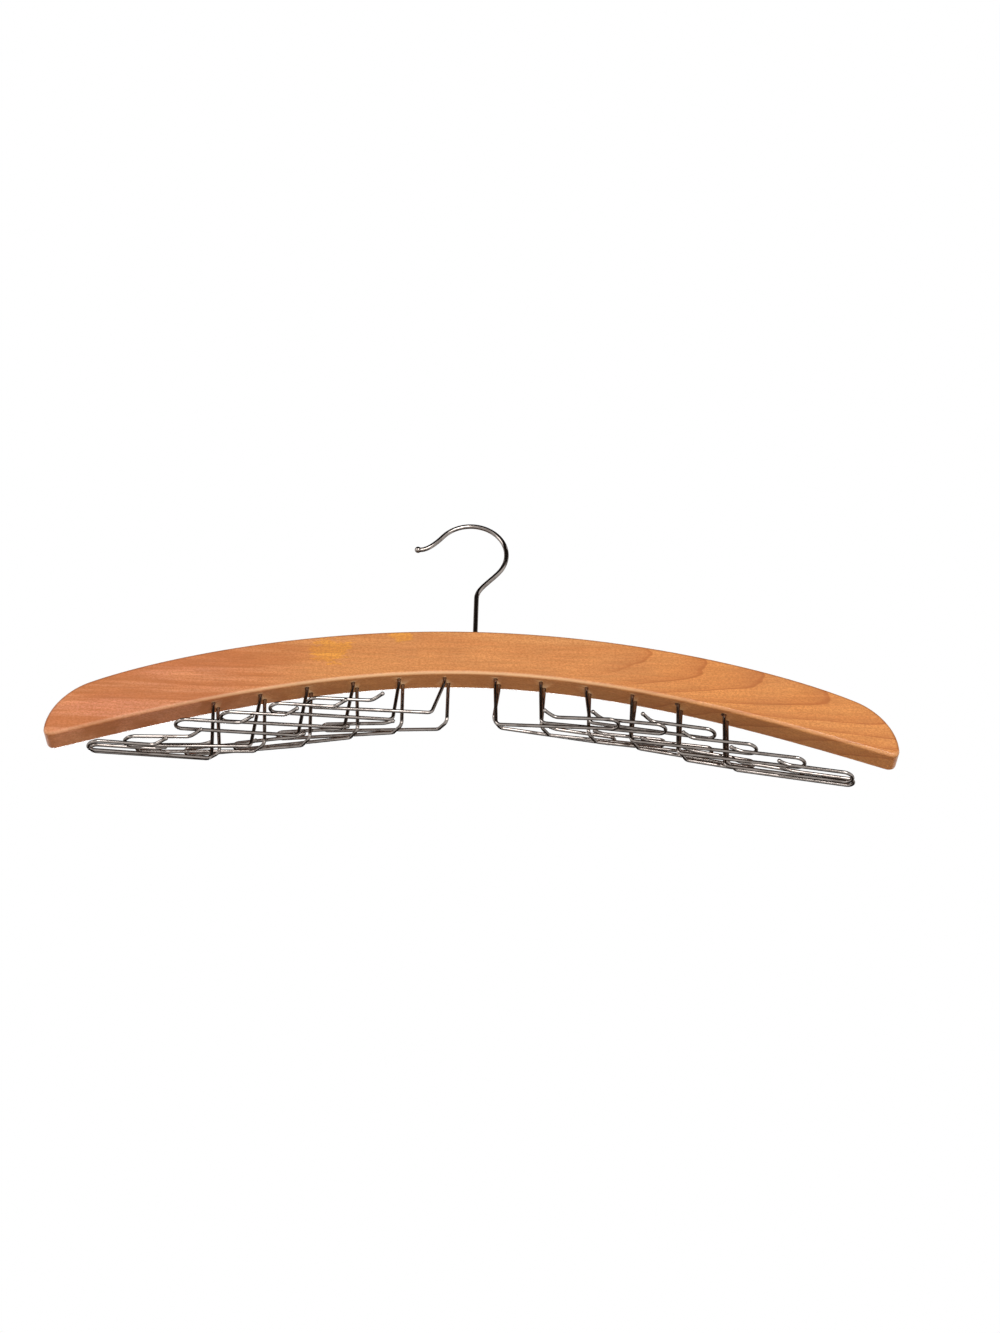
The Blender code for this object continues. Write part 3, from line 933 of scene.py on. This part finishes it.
@dataclass
class LegPlan:
    """Where each tie arm's leg leaves the board, and how the arm is bent."""

    board: BoardShape
    count: int = 6
    first_x: float = 13.5 * MM
    pitch: float = 24.2 * MM
    row_offset: float = 2.8 * MM
    front_shift: float = 1.9 * MM
    wire: float = 1.9 * MM
    leg: float = 28.0 * MM
    splay: float = 4.0 * MM
    lean_share: float = 0.25
    neck: float = 3.0 * MM
    bend: float = 3.0 * MM
    reach: float = 66.0 * MM
    hairpin: float = 9.0 * MM
    back_hairpin: float = 6.5 * MM
    back_length: float = 37.0 * MM
    tip: float = 8.0 * MM
    flare: float = 6.0 * MM
    rise: float = 1.2 * MM
    back_flare: float = 1.2 * MM
    back_rise: float = 0.4 * MM
    jog_length: float = 5.0 * MM
    jog_offset: float = 7.0 * MM
    jog_bend: float = 2.6 * MM
    head_top: float = 10.4 * MM
    head_height: float = 1.5 * MM
    head_cone: float = 0.3 * MM
    head_radius: float = 1.7 * MM
    knob_share: float = 1.2
    halvings: int = 60
    leg_shares: Shares = field(
        default_factory=lambda: {
            (Row.FRONT, Side.RIGHT): (1.02, 0.90, 0.77, 1.00, 1.07, 1.11),
            (Row.BACK, Side.RIGHT): (0.79, 0.87, 0.89, 0.86, 0.91, 0.89),
            (Row.FRONT, Side.LEFT): (0.82, 0.93, 1.04, 1.10, 1.18, 1.23),
            (Row.BACK, Side.LEFT): (0.86, 0.90, 0.93, 0.99, 0.98, 0.97),
        }
    )
    splay_shares: Shares = field(
        default_factory=lambda: {
            (Row.FRONT, Side.RIGHT): (0.30, 0.25, 0.64, 0.00, 0.20, 0.26),
            (Row.BACK, Side.RIGHT): (-0.55, -0.22, 0.04, -0.38, -0.05, 0.22),
            (Row.FRONT, Side.LEFT): (1.62, 0.71, 1.01, 1.03, 1.10, 0.00),
            (Row.BACK, Side.LEFT): (0.04, 0.00, -0.23, 0.00, -0.14, -0.39),
        }
    )
    flare_shares: Shares = field(
        default_factory=lambda: {
            (Row.FRONT, Side.RIGHT): (0.7, 0.7, 0.7, 0.5, 0.3, 0.3),
            (Row.FRONT, Side.LEFT): (0.8, 0.8, 0.8, 0.8, 0.8, 0.8),
        }
    )
    slopes_deg: Shares = field(
        default_factory=lambda: {
            (Row.FRONT, Side.RIGHT): (8.1, 9.2, 10.9, 10.3, 11.0, 11.6),
            (Row.BACK, Side.RIGHT): (2.4, 2.6, 3.3, 7.6, 7.3, 8.6),
            (Row.FRONT, Side.LEFT): (6.1, 7.6, 8.4, 10.2, 11.1, 10.9),
            (Row.BACK, Side.LEFT): (0.7, 3.5, 5.9, 5.5, 6.3, 5.3),
        }
    )
    turns_deg: Shares = field(
        default_factory=lambda: {
            (Row.FRONT, Side.RIGHT): (11.5, 7.2, 5.7, 7.4, 7.6, 7.0),
            (Row.BACK, Side.RIGHT): (8.7, 3.8, 3.5, 3.2, 3.0, -1.8),
            (Row.FRONT, Side.LEFT): (11.6, 15.5, 16.2, 19.7, 15.7, 22.3),
            (Row.BACK, Side.LEFT): (3.1, 3.1, 4.8, 3.1, -7.1, -12.7),
        }
    )

    def places(self) -> list[tuple[Row, Side, int]]:
        """Row, side and number of every leg."""
        return list(product(Row, Side, range(self.count)))

    def station(self, number: int) -> tuple[Vector, float]:
        """Find where a leg meets the underside.

        Args:
            number: The leg's place from the middle, from 0.

        Returns:
            The point below the board's top middle, and the slope there in radians.
        """
        target = self.first_x + self.pitch * number
        controls = self.board.bottom_controls()
        low, high = 0.0, 1.0
        for _ in range(self.halvings):
            t = (low + high) / 2
            place = on_curve(controls, t)
            if place.x < target:
                low = t
            else:
                high = t
        a, b, c, d = controls
        s = 1 - t
        along = 3 * s * s * (b - a) + 6 * s * t * (c - b) + 3 * t * t * (d - c)
        return place, math.atan2(-along.y, along.x)

    def frame(self, row: Row, side: Side, number: int) -> Matrix:
        """Frame of one leg: origin at the underside, Z up the leg, X outward.

        Args:
            row: Front or back.
            side: Right or left.
            number: The leg's place from the middle, from 0.

        Returns:
            The frame in the world.
        """
        place, slope = self.station(number)
        turn = Matrix.Rotation(0 if side is Side.RIGHT else math.pi, 4, "Z")
        lean = Matrix.Rotation(slope * self.lean_share, 4, "Y")
        shift = self.front_shift if row is Row.FRONT else 0
        x = self.board.centre_x - shift + side.value * place.x
        at = Vector((x, row.value * self.row_offset, self.board.top_z + place.y))
        return Matrix.Translation(at) @ turn @ lean


@dataclass
class CurvedBoard:
    """The wooden board, cut from its outline, eased and drilled."""

    shape: BoardShape
    plan: LegPlan
    leg_hole: float = 1.15 * MM
    leg_hole_depth: float = 10.7 * MM
    hook_hole: float = 2.3 * MM
    hook_hole_depth: float = 18.3 * MM
    hole_sides: int = 24
    overshoot: float = 4 * MM
    smooth_deg: float = 35.0
    flat_weight: int = 100

    def outline(self) -> bpy.types.Object:
        """Draw the outline as a bezier curve and turn it into a mesh.

        Returns:
            The outline, standing upright at its place.
        """
        clear_selection()
        bpy.ops.curve.primitive_bezier_curve_add(location=(0, 0, 0))
        holder = bpy.context.object
        spline = holder.data.splines[0]
        knots = self.shape.knots()
        spline.bezier_points.add(len(knots) - 2)
        spline.use_cyclic_u = True
        spline.resolution_u = self.shape.curve_steps
        centre = Vector((self.shape.centre_x, -self.shape.thickness / 2, self.shape.top_z))
        for knot, (left, point, right) in zip(spline.bezier_points, knots):
            knot.handle_left_type = "FREE"
            knot.handle_right_type = "FREE"
            knot.co = centre + Vector((point.x, 0, point.y))
            knot.handle_left = centre + Vector((left.x, 0, left.y))
            knot.handle_right = centre + Vector((right.x, 0, right.y))
        holder.data.dimensions = "3D"
        bpy.ops.object.convert(target="MESH")
        return bpy.context.object

    def build(self) -> bpy.types.Object:
        """Cut, ease and drill the board.

        Returns:
            The board's object.
        """
        board = self.outline()
        board.name = "board_wood"
        board.data.name = "board_wood"
        bpy.ops.object.mode_set(mode="EDIT")
        bpy.ops.mesh.select_all(action="SELECT")
        bpy.ops.mesh.remove_doubles(threshold=WELD)
        bpy.ops.mesh.edge_face_add()
        back = (0, self.shape.thickness, 0)
        bpy.ops.mesh.extrude_region_move(
            TRANSFORM_OT_translate={"value": back, "orient_type": "GLOBAL"}
        )
        bpy.ops.mesh.select_all(action="SELECT")
        bpy.ops.mesh.normals_make_consistent(inside=False)
        bpy.ops.mesh.select_mode(type="EDGE")
        bpy.ops.mesh.select_all(action="DESELECT")
        bpy.ops.object.mode_set(mode="OBJECT")
        for edge in board.data.edges:
            first, last = (board.data.vertices[i].co.y for i in edge.vertices)
            edge.select = abs(first - last) < WELD
        bpy.ops.object.mode_set(mode="EDIT")
        bpy.ops.mesh.bevel(
            offset=self.shape.edge_round,
            offset_type="OFFSET",
            segments=self.shape.edge_steps,
            profile=HALF,
            clamp_overlap=False,
        )
        bpy.ops.object.mode_set(mode="OBJECT")
        self.drill(board)
        self.settle(board)
        self.mark_edges(board)
        return board

    def drill(self, board: bpy.types.Object) -> None:
        """Drill the legs' holes and the hook's hole.

        Args:
            board: The board's object.
        """
        bits = []
        for row, side, number in self.plan.places():
            frame = self.plan.frame(row, side, number)
            bits.append(self.bit(frame, self.leg_hole, self.leg_hole_depth))
        down = Matrix.Rotation(math.pi, 4, "X")
        top = Matrix.Translation((self.shape.centre_x, 0, self.shape.top_z)) @ down
        bits.append(self.bit(top, self.hook_hole, self.hook_hole_depth))
        clear_selection()
        for bit in bits:
            bit.select_set(True)
        bpy.context.view_layer.objects.active = bits[0]
        bpy.ops.object.join()
        cutter = bpy.context.object
        clear_selection()
        board.select_set(True)
        bpy.context.view_layer.objects.active = board
        cut = board.modifiers.new("holes", "BOOLEAN")
        cut.operation = "DIFFERENCE"
        cut.solver = "EXACT"
        cut.object = cutter
        bpy.ops.object.modifier_apply(modifier=cut.name)
        bpy.data.objects.remove(cutter, do_unlink=True)

    def bit(self, frame: Matrix, radius: float, depth: float) -> bpy.types.Object:
        """Make a drill's shape, which starts outside the board.

        Args:
            frame: The hole's frame, Z into the board.
            radius: The hole's radius.
            depth: How deep it goes.

        Returns:
            The shape that is cut away.
        """
        clear_selection()
        bpy.ops.mesh.primitive_cylinder_add(
            vertices=self.hole_sides,
            radius=radius,
            depth=depth + self.overshoot,
            location=frame @ Vector((0, 0, (depth - self.overshoot) / 2)),
            rotation=frame.to_euler(),
        )
        made = bpy.context.object
        bpy.ops.object.transform_apply(location=True, rotation=True, scale=True)
        return made

    def settle(self, board: bpy.types.Object) -> None:
        """Shade the board so that its flat faces stay flat.

        Args:
            board: The board's object.
        """
        close_shape(board, self.smooth_deg)
        weigh = board.modifiers.new("flat_faces", "WEIGHTED_NORMAL")
        weigh.keep_sharp = True
        weigh.weight = self.flat_weight
        bpy.ops.object.modifier_apply(modifier=weigh.name)

    def mark_edges(self, board: bpy.types.Object) -> None:
        """Note the vertices that the wood's painted highlight and painted shade follow.

        The first value is 1 in the middle of an upper eased edge, -1 in the middle of a
        lower one and 0 on the flat faces. The second is 1 where a face looks straight down.

        Args:
            board: The board's object.
        """
        board.data.attributes.new(EASED, "FLOAT", "POINT")
        board.data.attributes.new(UNDERSIDE, "FLOAT", "POINT")
        eased = board.data.attributes[EASED]
        under = board.data.attributes[UNDERSIDE]
        # These masks steer the painted highlight and the painted shade of the wood.
        for vertex in board.data.vertices:
            under.data[vertex.index].value = max(0.0, -vertex.normal.z) ** 4
            facing = vertex.normal.y**2
            share = 4 * facing * (1 - facing)
            eased.data[vertex.index].value = math.copysign(share, vertex.normal.z)


@dataclass
class TieArm:
    """One bent wire arm that swings on its leg.

    A corner is left sharp where the cosine of half its angle is under least_bend.
    """

    plan: LegPlan
    row: Row
    side: Side
    number: int
    neck_steps: int = 4
    corner_steps: int = 7
    hairpin_steps: int = 18
    tip_steps: int = 6
    knob_steps: int = 7
    least_bend: float = 0.01

    @property
    def label(self) -> str:
        """Row, side and number in words."""
        return f"{self.row.name.lower()}_{self.side.name.lower()}_{self.number + 1}"

    def corner(
        self, before: Vector, at: Vector, after: Vector, radius: float
    ) -> tuple[Vector, Vector]:
        """Start and end of the arc that rounds a corner.

        Args:
            before: A point on the stretch before it.
            at: The sharp corner.
            after: A point on the stretch after it.
            radius: The arc's radius.

        Returns:
            The arc's two ends, or the corner twice where it is nearly straight.
        """
        back = (before - at).normalized()
        ahead = (after - at).normalized()
        half = back.angle(ahead) / 2
        if math.cos(half) < self.least_bend:
            return at, at
        cut = radius / math.tan(half)
        return at + back * cut, at + ahead * cut

    def leg(self, frame: Matrix, neck: Vector, foot: Vector) -> WireBender:
        """Start the wire with its head in the board, and lead it out along the leg.

        Args:
            frame: The swung frame of the leg.
            neck: Where the leg takes its slant.
            foot: The leg's lower end.

        Returns:
            The wire, just past its neck.
        """
        plan = self.plan
        up = Vector((0, 0, 1))
        down = (frame.to_3x3() @ -up).normalized()
        top = frame @ (up * plan.head_top)
        wire = WireBender(f"tie_arm_{self.label}", top, down, plan.head_radius)
        head_foot = plan.head_top - plan.head_height
        wire.run(frame @ (up * (head_foot + plan.head_cone)))
        wire.swell(frame @ (up * head_foot), plan.wire / 2)
        first, last = self.corner(up * 0, neck, foot, plan.neck)
        wire.run(frame @ first)
        if (last - first).length > WELD:
            wire.reach(frame @ last, self.neck_steps)
        return wire

    def build(self) -> bpy.types.Object:
        """Bend the arm.

        Returns:
            The arm's object.
        """
        plan = self.plan
        hand = self.row.value * self.side.value
        line = self.row, self.side
        turn = math.radians(plan.turns_deg[line][self.number])
        frame = plan.frame(self.row, self.side, self.number)
        frame = frame @ Matrix.Rotation(hand * turn, 4, "Z")
        slope = plan.station(self.number)[1] * plan.lean_share
        tilt = math.radians(plan.slopes_deg[line][self.number]) - slope
        out = Vector((math.cos(tilt), 0, -math.sin(tilt)))
        side = Vector((0, hand, 0))
        up = Vector((0, 0, 1))
        splay = plan.splay * plan.splay_shares[line][self.number]
        neck = Vector((0, 0, -plan.neck))
        foot = Vector((splay, 0, -plan.leg * plan.leg_shares[line][self.number]))
        if self.row is Row.BACK:
            start = foot + out * plan.jog_length + side * plan.jog_offset
            end = start + out * (plan.reach - plan.jog_length)
            bends = [(neck, foot, start, plan.jog_bend), (foot, start, end, plan.jog_bend)]
            across, width = -side, plan.back_hairpin
            flare = up * plan.back_rise - side * plan.back_flare
        else:
            end = foot + out * plan.reach
            bends = [(neck, foot, end, plan.bend)]
            across, width = side, plan.hairpin
            share = plan.flare_shares[line][self.number]
            flare = (side * plan.flare + up * plan.rise) * share
        wire = self.leg(frame, neck, foot)
        for before, at, after, radius in bends:
            first, last = self.corner(before, at, after, radius)
            wire.run(frame @ first)
            wire.reach(frame @ last, self.corner_steps)
        loop = width / 2
        eye = end - out * loop + across * loop
        wire.run(frame @ (eye - across * loop))
        wire.reach(frame @ (eye + out * loop), self.hairpin_steps // 2)
        wire.reach(frame @ (eye + across * loop), self.hairpin_steps // 2)
        bend = end + across * width - out * (plan.back_length - plan.tip)
        tip = bend - out * plan.tip + flare
        wire.run(frame @ bend)
        elbow = bend - out * (plan.tip / 2)
        for point in bezier((bend, elbow, elbow, tip), self.tip_steps)[1:]:
            wire.reach(frame @ point, 1)
        wire.knob(plan.knob_share * plan.wire / 2, self.knob_steps)
        return wire.finish()


@dataclass
class WireHook:
    """The hook that hangs on the rail, with its ball tip and its stem."""

    shape: BoardShape
    radius: float = 19.8 * MM
    wire: float = 2.6 * MM
    centre_height: float = 56.6 * MM
    mouth_deg: float = 142.0
    throat_deg: float = -38.0
    tip_reach: float = 12.4 * MM
    tip_drop: float = 9.6 * MM
    tip_handle: float = 6.0 * MM
    tip_end_handle: float = 4.0 * MM
    stem_top: float = 27.0 * MM
    throat_handle: float = 9.0 * MM
    stem_handle: float = 6.0 * MM
    ball: float = 3.6 * MM
    shank: float = 18.0 * MM
    head: float = 4.6 * MM
    head_height: float = 2.0 * MM
    head_cone: float = 0.3 * MM
    curve_steps: int = 12
    arc_steps: int = 40
    ball_steps: int = 12

    @property
    def centre(self) -> Vector:
        """Middle of the hook's round part."""
        return Vector((0, 0, self.shape.top_z + self.centre_height))

    def on_arc(self, angle: float) -> Vector:
        """The wire's middle line at an angle of the round part."""
        return self.centre + self.radius * Vector((math.cos(angle), 0, math.sin(angle)))

    def build(self) -> bpy.types.Object:
        """Bend the hook, from its head in the board up to its ball.

        Returns:
            The hook's object.
        """
        origin = Vector((0, 0, self.shape.top_z))
        mouth = math.radians(self.mouth_deg)
        throat = math.radians(self.throat_deg)
        stem = origin + Vector((self.shape.centre_x, 0, self.stem_top))
        foot = stem - Vector((0, 0, self.stem_top + self.shank))
        up = Vector((0, 0, 1))
        wire = WireBender("hook_wire", foot, up, self.head / 2)
        wire.run(foot + up * (self.head_height - self.head_cone))
        wire.swell(foot + up * self.head_height, self.wire / 2)
        wire.run(stem)
        inward = Vector((math.sin(throat), 0, -math.cos(throat)))
        rise = (
            stem,
            stem + up * self.stem_handle,
            self.on_arc(throat) + inward * self.throat_handle,
            self.on_arc(throat),
        )
        for point in bezier(rise, self.curve_steps)[1:]:
            wire.reach(point, 1)
        middle = (throat + mouth) / 2
        wire.reach(self.on_arc(middle), self.arc_steps // 2)
        wire.reach(self.on_arc(mouth), self.arc_steps // 2)
        away = Vector((-math.sin(mouth), 0, math.cos(mouth)))
        start = self.on_arc(mouth)
        tip = start + Vector((-self.tip_reach, 0, -self.tip_drop))
        fall = (
            start,
            start + away * self.tip_handle,
            tip + Vector((self.tip_end_handle, 0, 0)),
            tip,
        )
        for point in bezier(fall, self.curve_steps)[1:]:
            wire.reach(point, 1)
        wire.knob(self.ball / 2, self.ball_steps)
        return wire.finish()


@dataclass(frozen=True)
class Softbox:
    """A square lamp: its name, where it stands, its side and its power in watts."""

    name: str
    at: Triple
    side: float
    watts: float

    def build(self, aim: Triple) -> None:
        """Set the lamp up.

        Args:
            aim: The point that it faces.
        """
        data = bpy.data.lights.new(self.name, "AREA")
        data.shape = "SQUARE"
        data.size = self.side
        data.energy = self.watts
        made = bpy.data.objects.new(self.name, data)
        bpy.context.scene.collection.objects.link(made)
        made.location = self.at
        facing = Vector(aim) - Vector(self.at)
        made.rotation_euler = facing.to_track_quat("-Z", "Y").to_euler()


@dataclass
class Studio:
    """Camera, lamps, floor, sky, and dark cloths for the wires to mirror."""

    floor_z: float = -1.35
    floor_half: float = 14.0
    floor_colour: Colour = srgb(236, 236, 234)
    floor_cloud: Cloud = Cloud(scale=3.0)
    floor_shade: Fade = Fade(0.3, 0.7, 0.985, 1.0)
    floor_rough: float = 0.9
    floor_white: float = 0.8
    sky_level: float = 0.30
    sky_fade: Fade = Fade(-0.6, 0.8, 0.75, 1.1)
    cloth_dark: Colour = srgb(44, 36, 32)
    cloth_light: Colour = srgb(58, 46, 38)
    cloth_cloud: Cloud = Cloud(scale=4.0)
    screen_radius: float = 2.2
    screen_sides: int = 64
    screen_low: float = 0.70
    screen_high: float = 2.3
    screen_back: float = 0.3
    canopy_side: float = 3.4
    canopy_y: float = -0.5
    mat_side: float = 4.0
    mat_y: float = 2.2
    mat_lift: float = 0.02
    lens: float = 60.6065
    sensor: float = 36.0
    clip_near: float = 0.02
    clip_far: float = 100.0
    camera_at: Triple = (0.01783424, -0.99064919, -0.76999295)
    pitch: float = 0.59963618
    roll: float = -0.02586133
    lamps_aim: Triple = (0.0, 0.0, -0.09)
    lamps: tuple[Softbox, ...] = (
        Softbox("softbox_front", (0.45, -1.75, -0.30), 0.9, 22.5),
        Softbox("softbox_left", (-1.4, -1.1, 0.1), 0.7, 6.0),
        Softbox("softbox_back", (-0.3, 1.9, 0.5), 0.9, 24.0),
    )

    def camera(self) -> None:
        """Put the camera where the photograph was taken from."""
        data = bpy.data.cameras.new("photo_camera")
        data.sensor_width = self.sensor
        data.lens = self.lens
        data.clip_start = self.clip_near
        data.clip_end = self.clip_far
        made = bpy.data.objects.new("photo_camera", data)
        bpy.context.scene.collection.objects.link(made)
        turn = Matrix.Rotation(self.pitch, 4, "X") @ Matrix.Rotation(self.roll, 4, "Y")
        look = Matrix.Rotation(math.pi / 2, 4, "X")
        made.matrix_world = Matrix.Translation(self.camera_at) @ turn @ look
        bpy.context.scene.camera = made

    def level_square(
        self, name: str, side: float, at: Triple, paint: bpy.types.Material
    ) -> bpy.types.Object:
        """Lay a level square.

        Args:
            name: Its name.
            side: Its side.
            at: Its middle.
            paint: Its material.

        Returns:
            The square.
        """
        clear_selection()
        bpy.ops.mesh.primitive_plane_add(size=side, location=at)
        made = bpy.context.object
        made.name = name
        bpy.ops.object.transform_apply(location=True, rotation=True, scale=True)
        made.data.materials.append(paint)
        return made

    def floor(self) -> None:
        """Lay a plain pale floor well below the hanger, near white where it is seen."""
        made, nodes, shader = Finish("studio_floor_paint").start()
        place = nodes.add("TexCoord").outputs["Object"]
        shade = nodes.fade(nodes.cloud(place, self.floor_cloud), self.floor_shade)
        colour = nodes.add("HueSaturation", Color=self.floor_colour, Value=shade)
        nodes.put(colour.outputs[0], shader.inputs["Base Color"])
        shader.inputs["Roughness"].default_value = self.floor_rough
        share = nodes.math("MULTIPLY", nodes.seen(), self.floor_white)
        white = nodes.add("Emission", Color=WHITE, Strength=1.0)
        both = nodes.add("MixShader", i0=share, i1=shader.outputs[0], i2=white.outputs[0])
        nodes.put(both.outputs[0], made.node_tree.nodes["Material Output"].inputs[0])
        at = (0, 0, self.floor_z)
        floor = self.level_square("studio_floor", 2 * self.floor_half, at, made)

    def cloth_paint(self) -> bpy.types.Material:
        """Make the dark cloths' material.

        Returns:
            The material.
        """
        made, nodes, shader = Finish("studio_screen_cloth").start()
        cloud = nodes.cloud(nodes.add("TexCoord").outputs["Object"], self.cloth_cloud)
        colour = nodes.mix(cloud, self.cloth_light, self.cloth_dark)
        nodes.put(colour, shader.inputs["Base Color"])
        shader.inputs["Roughness"].default_value = 1.0
        return made

    def screen(self, paint: bpy.types.Material) -> bpy.types.Object:
        """Stand a round screen high in front, open at its back.

        Args:
            paint: Its material.

        Returns:
            The screen.
        """
        clear_selection()
        bpy.ops.mesh.primitive_cylinder_add(
            vertices=self.screen_sides,
            radius=self.screen_radius,
            depth=self.screen_high - self.screen_low,
            end_fill_type="NOTHING",
            location=(0, 0, (self.screen_low + self.screen_high) / 2),
        )
        screen = bpy.context.object
        screen.name = "studio_screen"
        bpy.ops.object.transform_apply(location=True, rotation=True, scale=True)
        bpy.ops.object.mode_set(mode="EDIT")
        bpy.ops.mesh.select_mode(type="FACE")
        bpy.ops.mesh.select_all(action="DESELECT")
        bpy.ops.object.mode_set(mode="OBJECT")
        for face in screen.data.polygons:
            face.select = face.center.y > self.screen_back
        bpy.ops.object.mode_set(mode="EDIT")
        bpy.ops.mesh.delete(type="FACE")
        bpy.ops.object.mode_set(mode="OBJECT")
        screen.data.materials.append(paint)
        return screen

    def dark_cloths(self) -> None:
        """Hang the screen, a canopy and a mat, which only mirrors see."""
        paint = self.cloth_paint()
        canopy_at = (0, self.canopy_y, self.screen_high)
        mat_at = (0, self.mat_y, self.floor_z + self.mat_lift)
        hung = [
            self.screen(paint),
            self.level_square("studio_canopy", self.canopy_side, canopy_at, paint),
            self.level_square("studio_mat", self.mat_side, mat_at, paint),
        ]
        for cloth in hung:
            cloth.visible_camera = False
            cloth.visible_diffuse = False
            cloth.visible_shadow = False

    def sky(self) -> None:
        """Light everything evenly, brighter from above, with a white background."""
        world = bpy.data.worlds.new("studio_sky")
        bpy.context.scene.world = world
        world.use_nodes = True
        nodes = NodeBoard(world.node_tree)
        nodes.tree.nodes.clear()
        height = nodes.apart(nodes.add("TexCoord").outputs["Generated"])[2]
        level = nodes.math("MULTIPLY", nodes.fade(height, self.sky_fade), self.sky_level)
        light = nodes.add("Background", Color=WHITE, Strength=level)
        white = nodes.add("Background", Color=WHITE, Strength=1.0)
        seen = nodes.seen()
        both = nodes.add("MixShader", i0=seen, i1=light.outputs[0], i2=white.outputs[0])
        nodes.put(both.outputs[0], nodes.add("OutputWorld").inputs[0])

    def build(self) -> None:
        """Set up the whole studio."""
        bpy.context.scene.view_settings.view_transform = "Standard"
        self.camera()
        self.floor()
        self.dark_cloths()
        self.sky()
        for lamp in self.lamps:
            lamp.build(self.lamps_aim)


@dataclass
class TieHanger:
    """The whole hanger: board, hook, socket, sleeves and tie arms."""

    frame: dict
    board: BoardShape = field(default_factory=BoardShape)

    def __post_init__(self) -> None:
        """Plan the legs on the board's outline."""
        self.plan = LegPlan(self.board)

    def dress(
        self, piece: bpy.types.Object, finish: bpy.types.Material
    ) -> None:
        """Give a new piece its finish.

        Args:
            piece: The piece.
            finish: Its material.
        """
        piece.data.materials.clear()
        piece.data.materials.append(finish)

    def build(self) -> None:
        """Build, dress and attach every piece."""
        grain = GrainGroup().build()
        marks = HandlingGroup().build()
        wood = VarnishedWood(grain, marks).build()
        wire = PlatedWire("plated_wire_looks", marks).build()
        dark = srgb(60, 50, 44)
        sleeve = PlatedWire(
            "pressed_sleeve_looks",
            marks,
            bright=srgb(120, 116, 112),
            dull=dark,
            edge=dark,
            smooth=0.3,
            wear_and_highlight=0.5,
        ).build()
        brass = srgb(196, 164, 96)
        socket = PlatedWire(
            "socket_brass_looks",
            marks,
            bright=brass,
            dull=srgb(120, 90, 48),
            edge=brass,
            smooth=0.25,
            wear_and_highlight=0.45,
        ).build()

        board = CurvedBoard(self.board, self.plan).build()
        self.dress(board, wood)
        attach(board, "board")
        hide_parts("board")
        log.info("board: %d faces", len(board.data.polygons))

        hook = WireHook(self.board).build()
        self.dress(hook, wire)
        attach(hook, "hook")
        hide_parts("hook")
        log.info("hook: %d faces", len(hook.data.polygons))

        for row, side, number in self.plan.places():
            self.arm(TieArm(self.plan, row, side, number), wire)
        self.carried_nodes("sleeve_", sleeve)
        self.carried_nodes("hook_socket", socket)

    def arm(self, arm: TieArm, finish: bpy.types.Material) -> None:
        """Build one tie arm and hang it on its body.

        Args:
            arm: The arm's plan.
            finish: Its material.
        """
        piece = arm.build()
        self.dress(piece, finish)
        node = f"arm_{arm.label}"
        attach(piece, node)
        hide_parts(node)
        log.info("%s: %d faces", piece.name, len(piece.data.polygons))

    def carried_nodes(self, start: str, finish: bpy.types.Material) -> None:
        """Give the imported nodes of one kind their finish.

        Args:
            start: How their names begin.
            finish: Their material.
        """
        for name, node in self.frame["nodes"].items():
            if name.startswith(start):
                node.data.materials.clear()
                node.data.materials.append(finish)
                log.info("%s: finish %s", name, finish.name)


def main() -> None:
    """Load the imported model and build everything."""
    logging.basicConfig(level=logging.INFO, format="%(name)s: %(message)s")
    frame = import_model()
    Studio().build()
    TieHanger(frame).build()
    bpy.context.view_layer.update()


if __name__ == "__main__":
    main()
